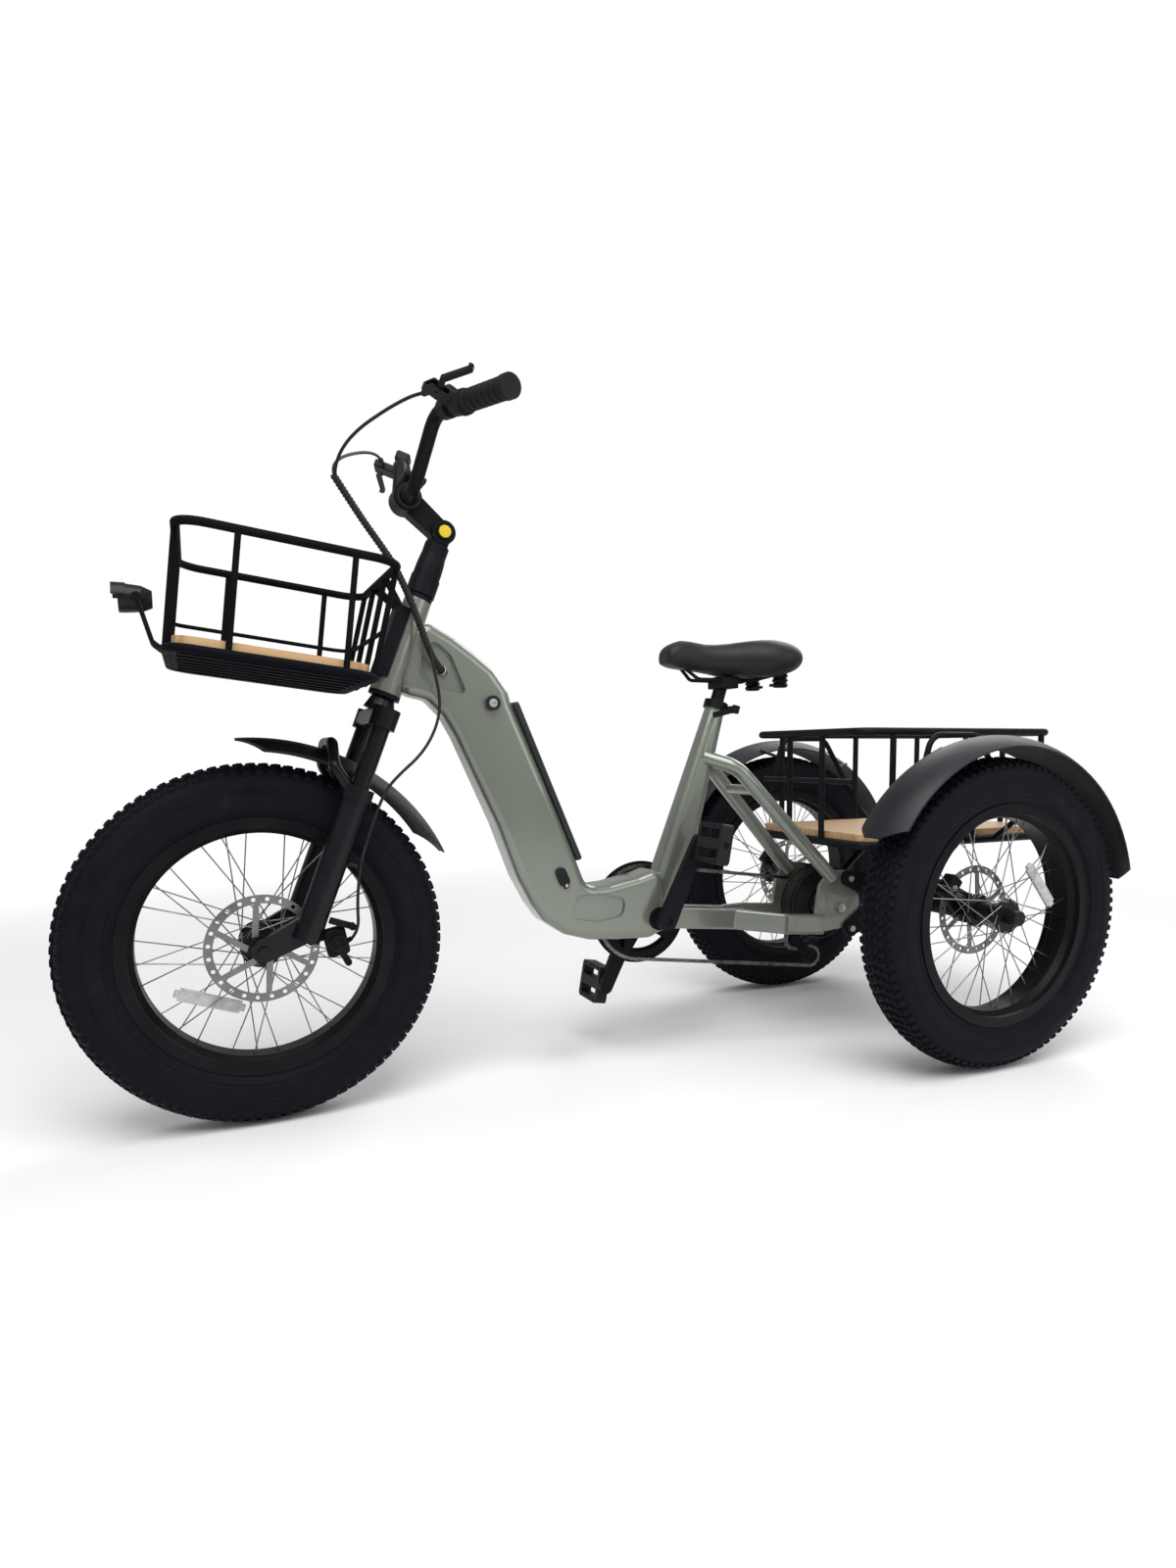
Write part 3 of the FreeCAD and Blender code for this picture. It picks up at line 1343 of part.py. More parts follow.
def make_drive():
    wheels, count = settled_drive()
    spots = belt_spots(wheels, count)
    phases = [belt_phase(wheels, spots, i) for i in range(4)]
    plane = -chain_plane
    nodes = {"drive_chain": chain_links(spots, plane)}
    sheet = sprocket_sheet
    radius = circle_radius(ring_teeth)
    blank = sprocket((crank_x, crank_z), ring_teeth, plane, radius * 0.84, phases[0], sheet)
    spider = []
    for i in range(5):
        angle = phases[0] + 2 * math.pi * i / 5
        tip = (crank_x + radius * 0.81 * math.cos(angle), crank_z + radius * 0.81 * math.sin(angle))
        spider.append(link_plate((crank_x, crank_z), tip, shell_radius, shell_radius * 0.36,
                                 plane - sheet * 1.6, plane + sheet / 2))
    guard_low = plane - sheet * 4
    guard = sleeve(vec(crank_x, guard_low, crank_z), vec(crank_x, guard_low + sheet, crank_z),
                   radius * 1.09, radius * 0.78)
    studs = []
    for i in range(5):
        angle = phases[0] + 2 * math.pi * i / 5
        x = crank_x + radius * 0.83 * math.cos(angle)
        z = crank_z + radius * 0.83 * math.sin(angle)
        studs.append(pin(x, z, guard_low, plane, shell_radius * 0.2))
    ring = fused([blank, guard] + spider + studs)
    nodes["chainring"] = ring.cut(pin(crank_x, crank_z, plane - tube_width, plane + tube_width,
                                      spindle_radius))
    cogs = []
    core = motor_axle_radius + run_gap * 10
    for i, teeth in enumerate(cassette_teeth):
        y = plane + cog_step * (i - cassette_teeth.index(cog_teeth))
        phase = phases[1]
        cogs.append(sprocket((motor_x, motor_z), teeth, y, core, phase, sheet * 0.7))
    low = plane + cog_step * (-cassette_teeth.index(cog_teeth)) - sheet
    high = plane + cog_step * (len(cassette_teeth) - 1 - cassette_teeth.index(cog_teeth)) + sheet
    cogs.append(sleeve(vec(motor_x, low, motor_z), vec(motor_x, high, motor_z), core * 1.9, core))
    nodes["cassette"] = fused(cogs).cut(pin(motor_x, motor_z, low * 2, high + sheet, core))
    for i, name in ((2, "jockey_upper"), (3, "jockey_lower")):
        x, z, size, turn = wheels[i]
        wheel = sprocket((x, z), jockey_teeth, plane, roller_radius, phases[i], sheet)
        hub = sleeve(vec(x, plane - sheet * 1.2, z), vec(x, plane + sheet * 1.2, z), roller_radius * 2,
                     roller_radius * 0.7)
        nodes[name] = fused([wheel, hub])
    nodes["derailleur"] = make_derailleur(wheels, plane)
    small = axle_wheels(motor_x)
    rounds = round(belt_length(small) / (2 * chain_pitch)) * 2
    small_spots = belt_spots(small, rounds)
    nodes["axle_chain"] = chain_links(small_spots, axle_chain_plane)
    first_phase = belt_phase(small, small_spots, 0)
    second_phase = belt_phase(small, small_spots, 1)
    nodes["drive_sprocket"] = sprocket((motor_x, motor_z), drive_teeth, axle_chain_plane, core,
                                       first_phase, sheet)
    drum = []
    flange = sprocket((0.0, wheel_radius), axle_teeth, axle_chain_plane, shaft_radius, second_phase,
                      sheet)
    drum.append(flange)
    profile_shares = [(0.62, -1.0), (1.0, -0.7), (1.0, 0.7), (0.72, 1.0)]
    bore = shaft_radius + run_gap
    points = [(bore, -drum_half_width)] + [(drum_radius * r, drum_half_width * y) for r,
                                           y in profile_shares]
    points += [(drum_radius * 0.72, axle_chain_plane + sheet), (bore, axle_chain_plane + sheet)]
    body = shifted(spun(points), rear_axle)
    flange = flange.cut(pin(0, wheel_radius, -rear_half, rear_half, bore))
    nodes["differential"] = fused([body, flange])
    return nodes


cog_step = chain_pitch * 0.41


def make_derailleur(wheels, plane):
    sheet = sprocket_sheet * 0.8
    gap = sprocket_sheet * 2.2
    x0, z0, r0, t0 = wheels[2]
    x1, z1, r1, t1 = wheels[3]
    pieces = []
    for side in (1, -1):
        low = plane + gap if side > 0 else plane - gap - sheet
        pieces.append(link_plate((x0, z0), (x1, z1), r0 * 0.5, r0 * 0.5, low, low + sheet))
    bolts = []
    for x, z in ((x0, z0), (x1, z1)):
        bolts.append(pin(x, z, plane - gap - sheet, plane + gap + sheet,
                         roller_radius * 0.7 - bearing_gap))
    hang = (hang_x, hang_z)
    body = link_plate((x0, z0), hang, r0 * 0.62, hang_radius * 1.2, plane - gap - sheet * 7,
                      plane - gap - sheet)
    hook = pin(hang[0], hang[1], -stay_half_spread - dropout_sheet / 2, plane - gap - sheet * 2,
               hang_radius)
    return fused(pieces + bolts + [body, hook])


def make_motor():
    half = motor_half_width
    core = motor_axle_radius + run_gap
    edge = motor_radius * 0.12
    points = [(core, -half), (motor_radius * 0.5, -half), (motor_radius - edge * 2, -half + edge),
              (motor_radius, -half + edge * 2)]
    points += [(motor_radius, half - edge * 2), (motor_radius - edge * 2, half - edge),
               (motor_radius * 0.5, half)]
    points += [(core * 2.4, half), (core * 2.4, axle_chain_plane - sprocket_sheet / 2),
               (core, axle_chain_plane - sprocket_sheet / 2)]
    return shifted(spun(points), vec(motor_x, 0, motor_z))


def crank_tip(side):
    angle = math.radians(crank_turn) + (0 if side > 0 else math.pi)
    return crank_x + crank_length * math.cos(angle), crank_z + crank_length * math.sin(angle)


def make_crank_arms():
    stand = crank_stand
    pieces = []
    for side in (1, -1):
        tip = crank_tip(side)
        low, high = (stand, stand + crank_sheet) if side > 0 else (-stand - crank_sheet, -stand)
        arm = link_plate((crank_x, crank_z), tip, crank_sheet * 1.25, crank_sheet * 0.9, low, high)
        arm = arm.cut(pin(crank_x, crank_z, -tube_width * 2, tube_width * 2, spindle_radius))
        arm = arm.cut(pin(tip[0], tip[1], -tube_width * 2, tube_width * 2, motor_axle_radius))
        pieces.append(arm)
        start = stand * side
        end = (stand + crank_sheet * 1.3 + pedal_length) * side
        spindle = pin(tip[0], tip[1], min(start, end), max(start, end), motor_axle_radius)
        pieces.append(spindle)
    reach = stand + crank_sheet * 0.8
    pieces.append(pin(crank_x, crank_z, -reach, reach, spindle_radius))
    return group(pieces)


def make_pedal(side):
    tip = crank_tip(side)
    near = crank_stand + crank_sheet * 1.2
    far = near + pedal_length
    half = pedal_depth / 2
    high = pedal_height / 2
    bar = pedal_height * 0.42
    shape = block(vec(-half, near, -high), vec(half, far, high))
    upright = [e for e in shape.Edges if abs(e.tangentAt(e.FirstParameter).z) > 0.9]
    shape = shape.makeFillet(bar, upright)
    core = high * 0.85
    for sign in (1, -1):
        low, top = (core, half - bar) if sign > 0 else (-half + bar, -core)
        shape = shape.cut(block(vec(low, near + bar, -high * 2), vec(top, far - bar, high * 2)))
    teeth = []
    for sign in (1, -1):
        for i in range(4):
            y = near + bar * 1.5 + (pedal_length - bar * 3) * i / 3
            x = (half - bar / 2) * sign
            teeth.append(rod(vec(x, y, -high * 1.16), vec(x, y, high * 1.16), bar * 0.22))
    shape = fused([shape] + teeth)
    shape = shape.cut(rod(vec(0, 0, 0), vec(0, far + crank_sheet * 0.1 + run_gap, 0),
                          motor_axle_radius + run_gap))
    if side < 0:
        shape = flipped(shape)
    shape = turned(shape, vec(0, 1, 0), pedal_turn, vec(0, 0, 0))
    return shifted(shape, vec(tip[0], 0, tip[1]))


# Rack, rear fenders and rear brakes
def rack_loop(z, radius):
    corners = [vec(rack_front, -rack_half_width, z), vec(rack_front, rack_half_width, z)]
    corners += [vec(-rack_back, rack_half_width, z), vec(-rack_back, -rack_half_width, z)]
    start = (corners[3] + corners[0]) * 0.5
    return bent_rod([start] + corners, radius, rack_bend, True)


def hoop_points(side):
    base = deck_z - deck_board - rack_tube
    high = rack_rise + deck_board
    points = []
    for share_x, share_y, share_z in hoop_shares:
        y = rack_half_width + (hoop_spread - rack_half_width) * share_y
        points.append(vec(rack_back * share_x - rack_tube * 4, y * side, base + high * share_z))
    return points


def hoop_spot(leg, share, side):
    points = hoop_points(side)
    return points[leg] + (points[leg + 1] - points[leg]) * share


def make_rack():
    base = deck_z - deck_board - rack_tube
    top = deck_z + rack_rise
    length = rack_front + rack_back
    pieces = [rack_loop(top, rack_tube), rack_loop(base, rack_tube)]
    for share, unit in rack_post_shares:
        x = -rack_back + length * share
        for side in (1, -1):
            y = rack_half_width * side
            pieces.append(rod(vec(x, y, base), vec(x, y, top), rack_tube * 0.8))
    for share in (0.35, 0.65):
        y = rack_half_width * (share * 2 - 1)
        for x in (rack_front, -rack_back):
            pieces.append(rod(vec(x, y, base), vec(x, y, top), rack_tube * 0.8))
    for share in (0.12, 0.38, 0.62, 0.88):
        x = -rack_back + length * share
        pieces.append(rod(vec(x, -rack_half_width, base), vec(x, rack_half_width, base), rack_tube))
    rail = base + (top - base) * 0.56
    pieces.append(rod(vec(rack_front, -rack_half_width + rack_bend, rail),
                      vec(rack_front, rack_half_width - rack_bend, rail), rack_tube * 0.7))
    for side in (1, -1):
        pieces.append(bent_rod(hoop_points(side), rack_tube * 0.75, rack_bend))
        hold = stay_half_spread + dropout_sheet + arm_sheet + rack_bend
        for share in (0.38, 0.88):
            x = -rack_back + length * share
            foot = vec(0, hold * side, wheel_radius)
            pieces.append(rod(vec(x, hold * side, base), foot, rack_tube))
    shape = fused(pieces)
    keep = pin(0, wheel_radius, -rear_half, rear_half, axle_tube_radius)
    return shape.cut(keep)


def make_rack_deck():
    inset = rack_tube + run_gap
    low = vec(-rack_back + inset, -rack_half_width + inset, deck_z - deck_board)
    high = vec(rack_front - inset, rack_half_width - inset, deck_z)
    shape = block(low, high)
    upright = [e for e in shape.Edges if abs(e.tangentAt(e.FirstParameter).z) > 0.9]
    return shape.makeFillet(rack_bend * 0.8, upright)


def make_rear_fenders():
    band = fender_band(rear_fender_width, rear_fender_start, rear_fender_sweep,
                       rear_fender_width * 0.34)
    left = shifted(band, vec(0, rear_half, wheel_radius))
    return group([left, flipped(left)])


def make_fender_stays(rack, fenders):
    # Straps from the hoops to the inside edge of each fender
    pieces = []
    reach = fender_radius - fender_drop * 0.5
    for side in (1, -1):
        for angle, leg, share in ((74.0, 1, 0.72), (122.0, 3, 0.4)):
            spot = vec(reach * math.cos(math.radians(angle)), 0,
                       wheel_radius + reach * math.sin(math.radians(angle)))
            end = vec(spot.x, (rear_half - rear_fender_width * 0.42) * side, spot.z)
            pieces.append(rod(hoop_spot(leg, share, side), end, rack_tube * 0.5))
    made = []
    for piece in pieces:
        made.append(piece.cut(rack).cut(fenders))
    return group(made)


def caliper_block(angle, inner, outer):
    # Body over the rotor's rim, centred on the wheel's axle at the given angle
    out = rotor_radius * 0.92
    long_half = rotor_radius * 0.26
    high_half = rotor_radius * 0.17
    low = vec(out - high_half, inner, -long_half)
    high = vec(out + high_half, outer, long_half)
    shape = soft_block(low, high, high_half * 0.35)
    slot = block(vec(0, rotor_stand - rotor_thickness, -rotor_radius),
                 vec(rotor_radius + run_gap * 6, rotor_stand + rotor_thickness * 2, rotor_radius))
    shape = shape.cut(slot)
    return turned(shape, vec(0, 1, 0), -angle, vec(0, 0, 0))


def make_rear_calipers():
    inner = rotor_stand - rotor_radius * 0.12
    outer = rotor_stand + rotor_radius * 0.2
    body = caliper_block(38.0, inner, outer)
    body = flipped(body)
    tail = axle_tube_end - rear_half
    angle = math.radians(38.0)
    spot = (rotor_radius * 0.92 * math.cos(angle), rotor_radius * 0.92 * math.sin(angle))
    near = -outer
    bar = link_plate((0.0, 0.0), spot, axle_tube_radius * 1.35, rotor_radius * 0.14, tail,
                     near + rotor_thickness)
    bar = bar.cut(rod(vec(0, tail * 2, 0), vec(0, 0, 0), shaft_radius * 2))
    shape = shifted(fused([body, bar]), vec(0, rear_half, wheel_radius))
    return group([shape, flipped(shape)])


# Basket and lamp
def basket_at(shape):
    centre = vec(basket_back, 0, basket_z)
    return turned(shape, vec(0, 1, 0), -basket_tilt, centre)


def basket_loop(z, radius, back):
    front = basket_back + basket_length
    half = basket_half_width
    corners = [vec(back, -half, z), vec(front, -half, z), vec(front, half, z), vec(back, half, z)]
    start = (corners[3] + corners[0]) * 0.5
    return bent_rod([start] + corners, radius, basket_bend, True)


def make_basket():
    base = basket_z - basket_board - basket_tube
    top = basket_z + basket_rise
    back = basket_back
    front = back + basket_length
    half = basket_half_width
    pieces = [basket_loop(top, basket_tube, back - basket_flare), basket_loop(base, basket_tube, back)]
    for share in (0.16, 0.72):
        x = back + basket_length * share
        for side in (1, -1):
            pieces.append(rod(vec(x, half * side, base), vec(x, half * side, top), basket_tube * 0.7))
    for x, high_x in ((back, back - basket_flare), (front, front)):
        for share in (0.8, -0.8, 0.28, -0.28):
            y = half * share
            pieces.append(rod(vec(x, y, base), vec(high_x, y, top), basket_tube * 0.7))
    for share in (0.2, 0.4, 0.6, 0.8):
        x = back + basket_length * share
        z = base + basket_tube * 0.2
        pieces.append(rod(vec(x, -half, z), vec(x, half, z), basket_tube * 0.8))
    wire = base + (top - base) * 0.42
    wire_back = back - basket_flare * 0.42
    points = [vec(front, -half * 0.8, wire), vec(front, -half, wire), vec(wire_back, -half, wire),
              vec(wire_back, half * 0.8, wire)]
    pieces.append(bent_rod(points, basket_wire, basket_bend))
    tray = block(vec(back, -half, base - basket_tube * 0.5), vec(front, half, base - basket_tube * 0.2))
    upright = [e for e in tray.Edges if abs(e.tangentAt(e.FirstParameter).z) > 0.9]
    pieces.append(tray.makeFillet(basket_bend, upright))
    return basket_at(fused(pieces))


def make_basket_deck():
    inset = basket_tube + run_gap
    low = vec(basket_back + inset, -basket_half_width + inset, basket_z - basket_board)
    high = vec(basket_back + basket_length - inset, basket_half_width - inset, basket_z)
    shape = block(low, high)
    upright = [e for e in shape.Edges if abs(e.tangentAt(e.FirstParameter).z) > 0.9]
    return basket_at(shape.makeFillet(basket_bend * 0.88, upright))


def make_basket_bracket(frame, basket):
    # Two side plates from a pad on the head tube to the basket's back
    sheet = rim_wall * 1.6
    half = basket_half_width * 0.28
    pad = head_low_radius * 1.02
    low = head_low + head_length * 0.14
    high = head_low + head_length * 0.86
    plate = moved(block(vec(head_high_radius * 0.4, -pad, low),
                        vec(head_low_radius + sheet, pad, high)), fork_place)
    pieces = [plate]
    turn = math.radians(basket_tilt)
    rail_x = basket_back - basket_flare * math.cos(turn) - basket_rise * math.sin(turn)
    rail_z = basket_z - basket_flare * math.sin(turn) + basket_rise * math.cos(turn)
    base_z = basket_z - basket_board - basket_tube
    for side in (1, -1):
        y = half * side
        lowers = fork_origin + up * low + fore * head_low_radius
        uppers = fork_origin + up * high + fore * head_low_radius
        for spot, x, z in ((lowers, basket_back, base_z), (uppers, rail_x, rail_z)):
            start = vec(spot.x, pad * 0.5 * side, spot.z)
            pieces.append(beam(start, vec(x, y, z), sheet * 3, sheet, sheet * 0.3))
    shape = fused(pieces)
    return without_slivers(shape.cut(frame).cut(basket))


def lamp_spot():
    return vec(basket_back + basket_length + lamp_lead, 0, basket_z + lamp_rise)


def make_lamp_bracket(basket):
    spot = lamp_spot()
    half = lamp_radius + run_gap * 2
    front = basket_back + basket_length - basket_tube
    lift = basket_length * math.tan(math.radians(basket_tilt))
    base = basket_z - basket_board - basket_tube + lift
    pieces = []

    def spot_at(y):
        return vec(spot.x, y, spot.z)

    for side in (1, -1):
        y = (half + basket_wire) * side
        points = [vec(front, y, base), vec(front + lamp_lead * 0.7, y, base + lamp_rise * 0.2), spot_at(y)]
        pieces.append(bent_rod(points, basket_wire, basket_wire * 3))
        eye = basket_wire * 0.7
        pieces.append(pin(spot.x, spot.z, y - eye, y + eye, basket_wire * 2))
    cross = vec(front + lamp_lead * 0.35, 0, base + lamp_rise * 0.1)
    reach = vec(0, half + basket_wire, 0)
    pieces.append(rod(cross - reach, cross + reach, basket_wire * 0.9))
    return without_slivers(fused(pieces).cut(basket))


def make_lamp():
    spot = lamp_spot()
    back = lamp_length * 0.45
    front = lamp_length * 0.55
    points = [(0.0, -back), (lamp_radius * 0.6, -back), (lamp_radius * 0.9, -back * 0.3),
              (lamp_radius, front * 0.7)]
    points += [(lamp_radius, front), (lamp_radius * 0.88, front), (lamp_radius * 0.84, front * 0.8),
               (0.0, front * 0.7)]
    corners = [vec(r, y, 0) for r, y in points]
    shell = Part.Face(Part.makePolygon(corners + corners[:1])).revolve(vec(0, 0, 0), vec(0, 1, 0),
                                                                       360.0)
    visor = sleeve(vec(0, front * 0.6, 0), vec(0, front * 1.35, 0), lamp_radius * 1.06,
                   lamp_radius * 0.95)
    keep = block(vec(-lamp_radius * 2, 0, lamp_radius * 0.1),
                 vec(lamp_radius * 2, lamp_length * 2, lamp_radius * 2))
    visor = visor.common(keep)
    shape = fused([shell, visor])
    shape.rotate(vec(0, 0, 0), vec(0, 0, 1), -90.0)
    ear = lamp_radius + run_gap
    pins = rod(vec(0, -ear, 0), vec(0, ear, 0), basket_wire)
    return shifted(fused([shape, pins]), spot)


# Seat
def saddle_wire(x, width, top, low):
    points = []
    for share_y, share_z in saddle_shares:
        points.append(vec(x, width / 2 * share_y, low + (top - low) * share_z))
    mirror = [vec(p.x, -p.y, p.z) for p in reversed(points[1:-1])]
    curve = Part.BSplineCurve()
    curve.interpolate(points + mirror, True)
    return Part.Wire(curve.toShape())


def saddle_middle():
    return seat_top + seat_up * (saddle_height - saddle_rise - seat_top.z)


def make_saddle():
    middle = saddle_middle()
    start = middle.x - saddle_length * 0.5
    low = saddle_height - saddle_rise
    wires = []
    for share, width, top, bottom in saddle_station_shares:
        z_low = low + saddle_rise * bottom
        wires.append(saddle_wire(start + saddle_length * share, saddle_width * width,
                                 low + saddle_rise * top, z_low))
    return Part.makeLoft(wires, True, False)


def make_saddle_frame(saddle):
    middle = saddle_middle()
    start = middle.x - saddle_length * 0.5
    low = saddle_height - saddle_rise
    pieces = []
    for side in (1, -1):
        y = rail_radius * 6 * side
        points = [vec(start + saddle_length * 0.86, rail_radius * 1.4 * side, low + saddle_rise * 0.3)]
        points += [vec(start + saddle_length * 0.74, y * 0.8, low - rail_radius * 2)]
        points += [vec(start + saddle_length * 0.3, y, low - rail_radius * 2)]
        points += [vec(start + saddle_length * 0.16, y * 1.6, low + rail_radius)]
        rail = bent_rod(points, rail_radius, rail_radius * 5)
        pieces.append(rail)
    made = []
    for piece in pieces:
        made.append(piece.cut(saddle))
    for side in (1, -1):
        x = start + saddle_length * 0.13
        y = saddle_width * 0.24 * side
        ring = rail_radius * 4.6
        stack = []
        for i in range(3):
            z = low - rail_radius * 6 + rail_radius * 2.6 * i
            stack.append(cone(vec(x, y, z), vec(x, y, z + rail_radius * 1.3), ring * 0.8, ring))
            stack.append(cone(vec(x, y, z + rail_radius * 1.3), vec(x, y, z + rail_radius * 2.6), ring,
                              ring * 0.8))
        stack.append(rod(vec(x, y, low), vec(x, y, low + saddle_rise * 0.4), ring * 0.7))
        bridge = beam(vec(x, rail_radius * 7 * side, low - rail_radius * 4.4),
                      vec(x, y, low - rail_radius * 4.4), rail_radius * 1.6, rail_radius * 5,
                      rail_radius * 0.5)
        made.append(fused(stack + [bridge]).cut(saddle).cut(Part.makeCompound(made[:2])))
    return group(made)


def make_seat_post(saddle_frame):
    middle = saddle_middle()
    low = saddle_height - saddle_rise
    foot = seat_foot + seat_up * (seat_tube_length * 0.46)
    head = vec(middle.x, 0, low - rail_radius * 2)
    top = foot + seat_up * ((low - rail_radius * 6 - foot.z) / seat_up.z)
    tube = rod(foot, top, seat_post_radius)
    clamp_half = rail_radius * 8
    cradle = soft_block(head - vec(clamp_half * 0.7, clamp_half, rail_radius * 4.6),
                        head + vec(clamp_half * 0.7, clamp_half, rail_radius * 1.9), rail_radius * 0.8)
    shape = fused([tube, cradle])
    return shape.cut(saddle_frame)


def make_collar():
    outer = seat_tube_top_radius * 1.22
    high = seat_tube_top_radius * 0.8
    start = seat_top - seat_up * high
    end = seat_top
    ring = rod(start, end, outer)
    middle = seat_top - seat_up * (high / 2)
    ear = middle + seat_fore * (-outer * 1.15)
    lug = rod(ear - vec(0, outer * 1.06, 0), ear + vec(0, outer * 1.06, 0), high * 0.48)
    shape = fused([ring, lug])
    return shape.cut(rod(start - seat_up * high, end + seat_up * high, seat_tube_top_radius))


def collar_spot():
    outer = seat_tube_top_radius * 1.22
    high = seat_tube_top_radius * 0.8
    return seat_top - seat_up * (high / 2) + seat_fore * (-outer * 1.15)


def lever_pivot():
    # Cam axis of the clamp lever, beside the end of the collar's lug
    outer = seat_tube_top_radius * 1.22
    high = seat_tube_top_radius * 0.8
    return collar_spot() + vec(0, outer * 1.06 + run_gap + high * 0.5, 0)


def make_collar_lever():
    outer = seat_tube_top_radius * 1.22
    high = seat_tube_top_radius * 0.8
    middle = lever_pivot()
    cam = rod(middle - seat_up * (high * 0.45), middle + seat_up * (high * 0.45), high * 0.5)
    tip = middle + vec(outer * 2.2, high * 0.3, -outer * 0.5)
    arm = beam(middle, tip, high * 0.7, high * 0.36, high * 0.1)
    return fused([cam, arm])


# Brakes at the fork and cables
def make_front_caliper(lowers):
    inner = rotor_stand - rotor_radius * 0.1
    outer = rotor_stand + rotor_radius * 0.13
    body = caliper_block(caliper_angle, inner, outer)
    angle = math.radians(caliper_angle)
    out = rotor_radius * 0.92
    spot = vec(out * math.cos(angle), outer, out * math.sin(angle))
    boss = rod(spot - vec(0, rotor_radius * 0.03, 0), vec(spot.x, leg_spread, spot.z), rotor_radius * 0.15)
    drum = rod(spot - vec(0, rotor_radius * 0.05, 0), spot, rotor_radius * 0.2)
    shape = shifted(fused([body, boss, drum]), front_axle)
    ends = fork_path(brake_cable_shares[-2:], 0.0, crown_high)
    line = vec(ends[1] - ends[0]).normalize()
    start = fork_place.multVec(ends[1] + line * run_gap)
    end = fork_place.multVec(ends[1] + line * (cable_radius * 4))
    anchor = rod(start, end, cable_radius * 1.6)
    arm = rod(end, shifted(Part.Vertex(spot), front_axle).Point, cable_radius * 1.5)
    return largest(fused([shape, anchor, arm]).cut(lowers))


def fork_path(shares, low, high):
    # Points beside the steering axis, ahead and across by shares of the leg spread
    points = []
    for ahead, across, rise in shares:
        points.append(vec(leg_spread * ahead, leg_spread * across, low + (high - low) * rise))
    return points


def make_cable_bundle(frame):
    points = fork_path(bundle_shares, head_high, knuckle_high)
    shape = moved(bent_rod(points, bundle_radius, bundle_radius * 4), fork_place)
    return largest(shape.cut(frame))


def make_control_cables():
    points = fork_path(loop_shares, head_high, knuckle_high)
    bundle = bent_rod(points, bundle_radius, bundle_radius * 4)
    half = grip_radius * 0.62
    stand = bar_radius * lever_out_share
    head = points[0]
    nose = lever_frame().multVec(vec(-half * 4.3, stand, 0))
    inward = lever_frame().multVec(vec(-half * 8, stand * 1.2, 0))
    cables = []
    for side in (1, -1):
        start = vec(nose.x, nose.y * side, nose.z)
        along = vec(inward.x, inward.y * side, inward.z)
        over = vec(head.x + bundle_radius * 2, head.y + bundle_radius * 6 * side,
                   head.z + bundle_radius * 5)
        end = head + vec(-cable_radius, cable_radius * 1.2 * side, 0)
        cables.append(bent_rod([start, along, over, end], cable_radius, bundle_radius * 4))
    return fused([bundle] + cables)


def make_brake_cable():
    points = fork_path(brake_cable_shares, 0.0, crown_high)
    return bent_rod(points, cable_radius, cable_radius * 16)


def report_route(name, shares, low, high, radius, bend):
    # Prints a cable's length, its tightest bend and its volume beside section times length
    wire = path_wire(fork_path(shares, low, high), bend)
    bends = [edge.Curve.Radius for edge in wire.Edges if hasattr(edge.Curve, "Radius")]
    tube = swept(wire, radius)
    ratio = tube.Volume / (math.pi * radius * radius * wire.Length)
    print(name, "length", round(wire.Length), "tightest bend", round(min(bends), 1), "fill", round(ratio, 3))


nodes = {}


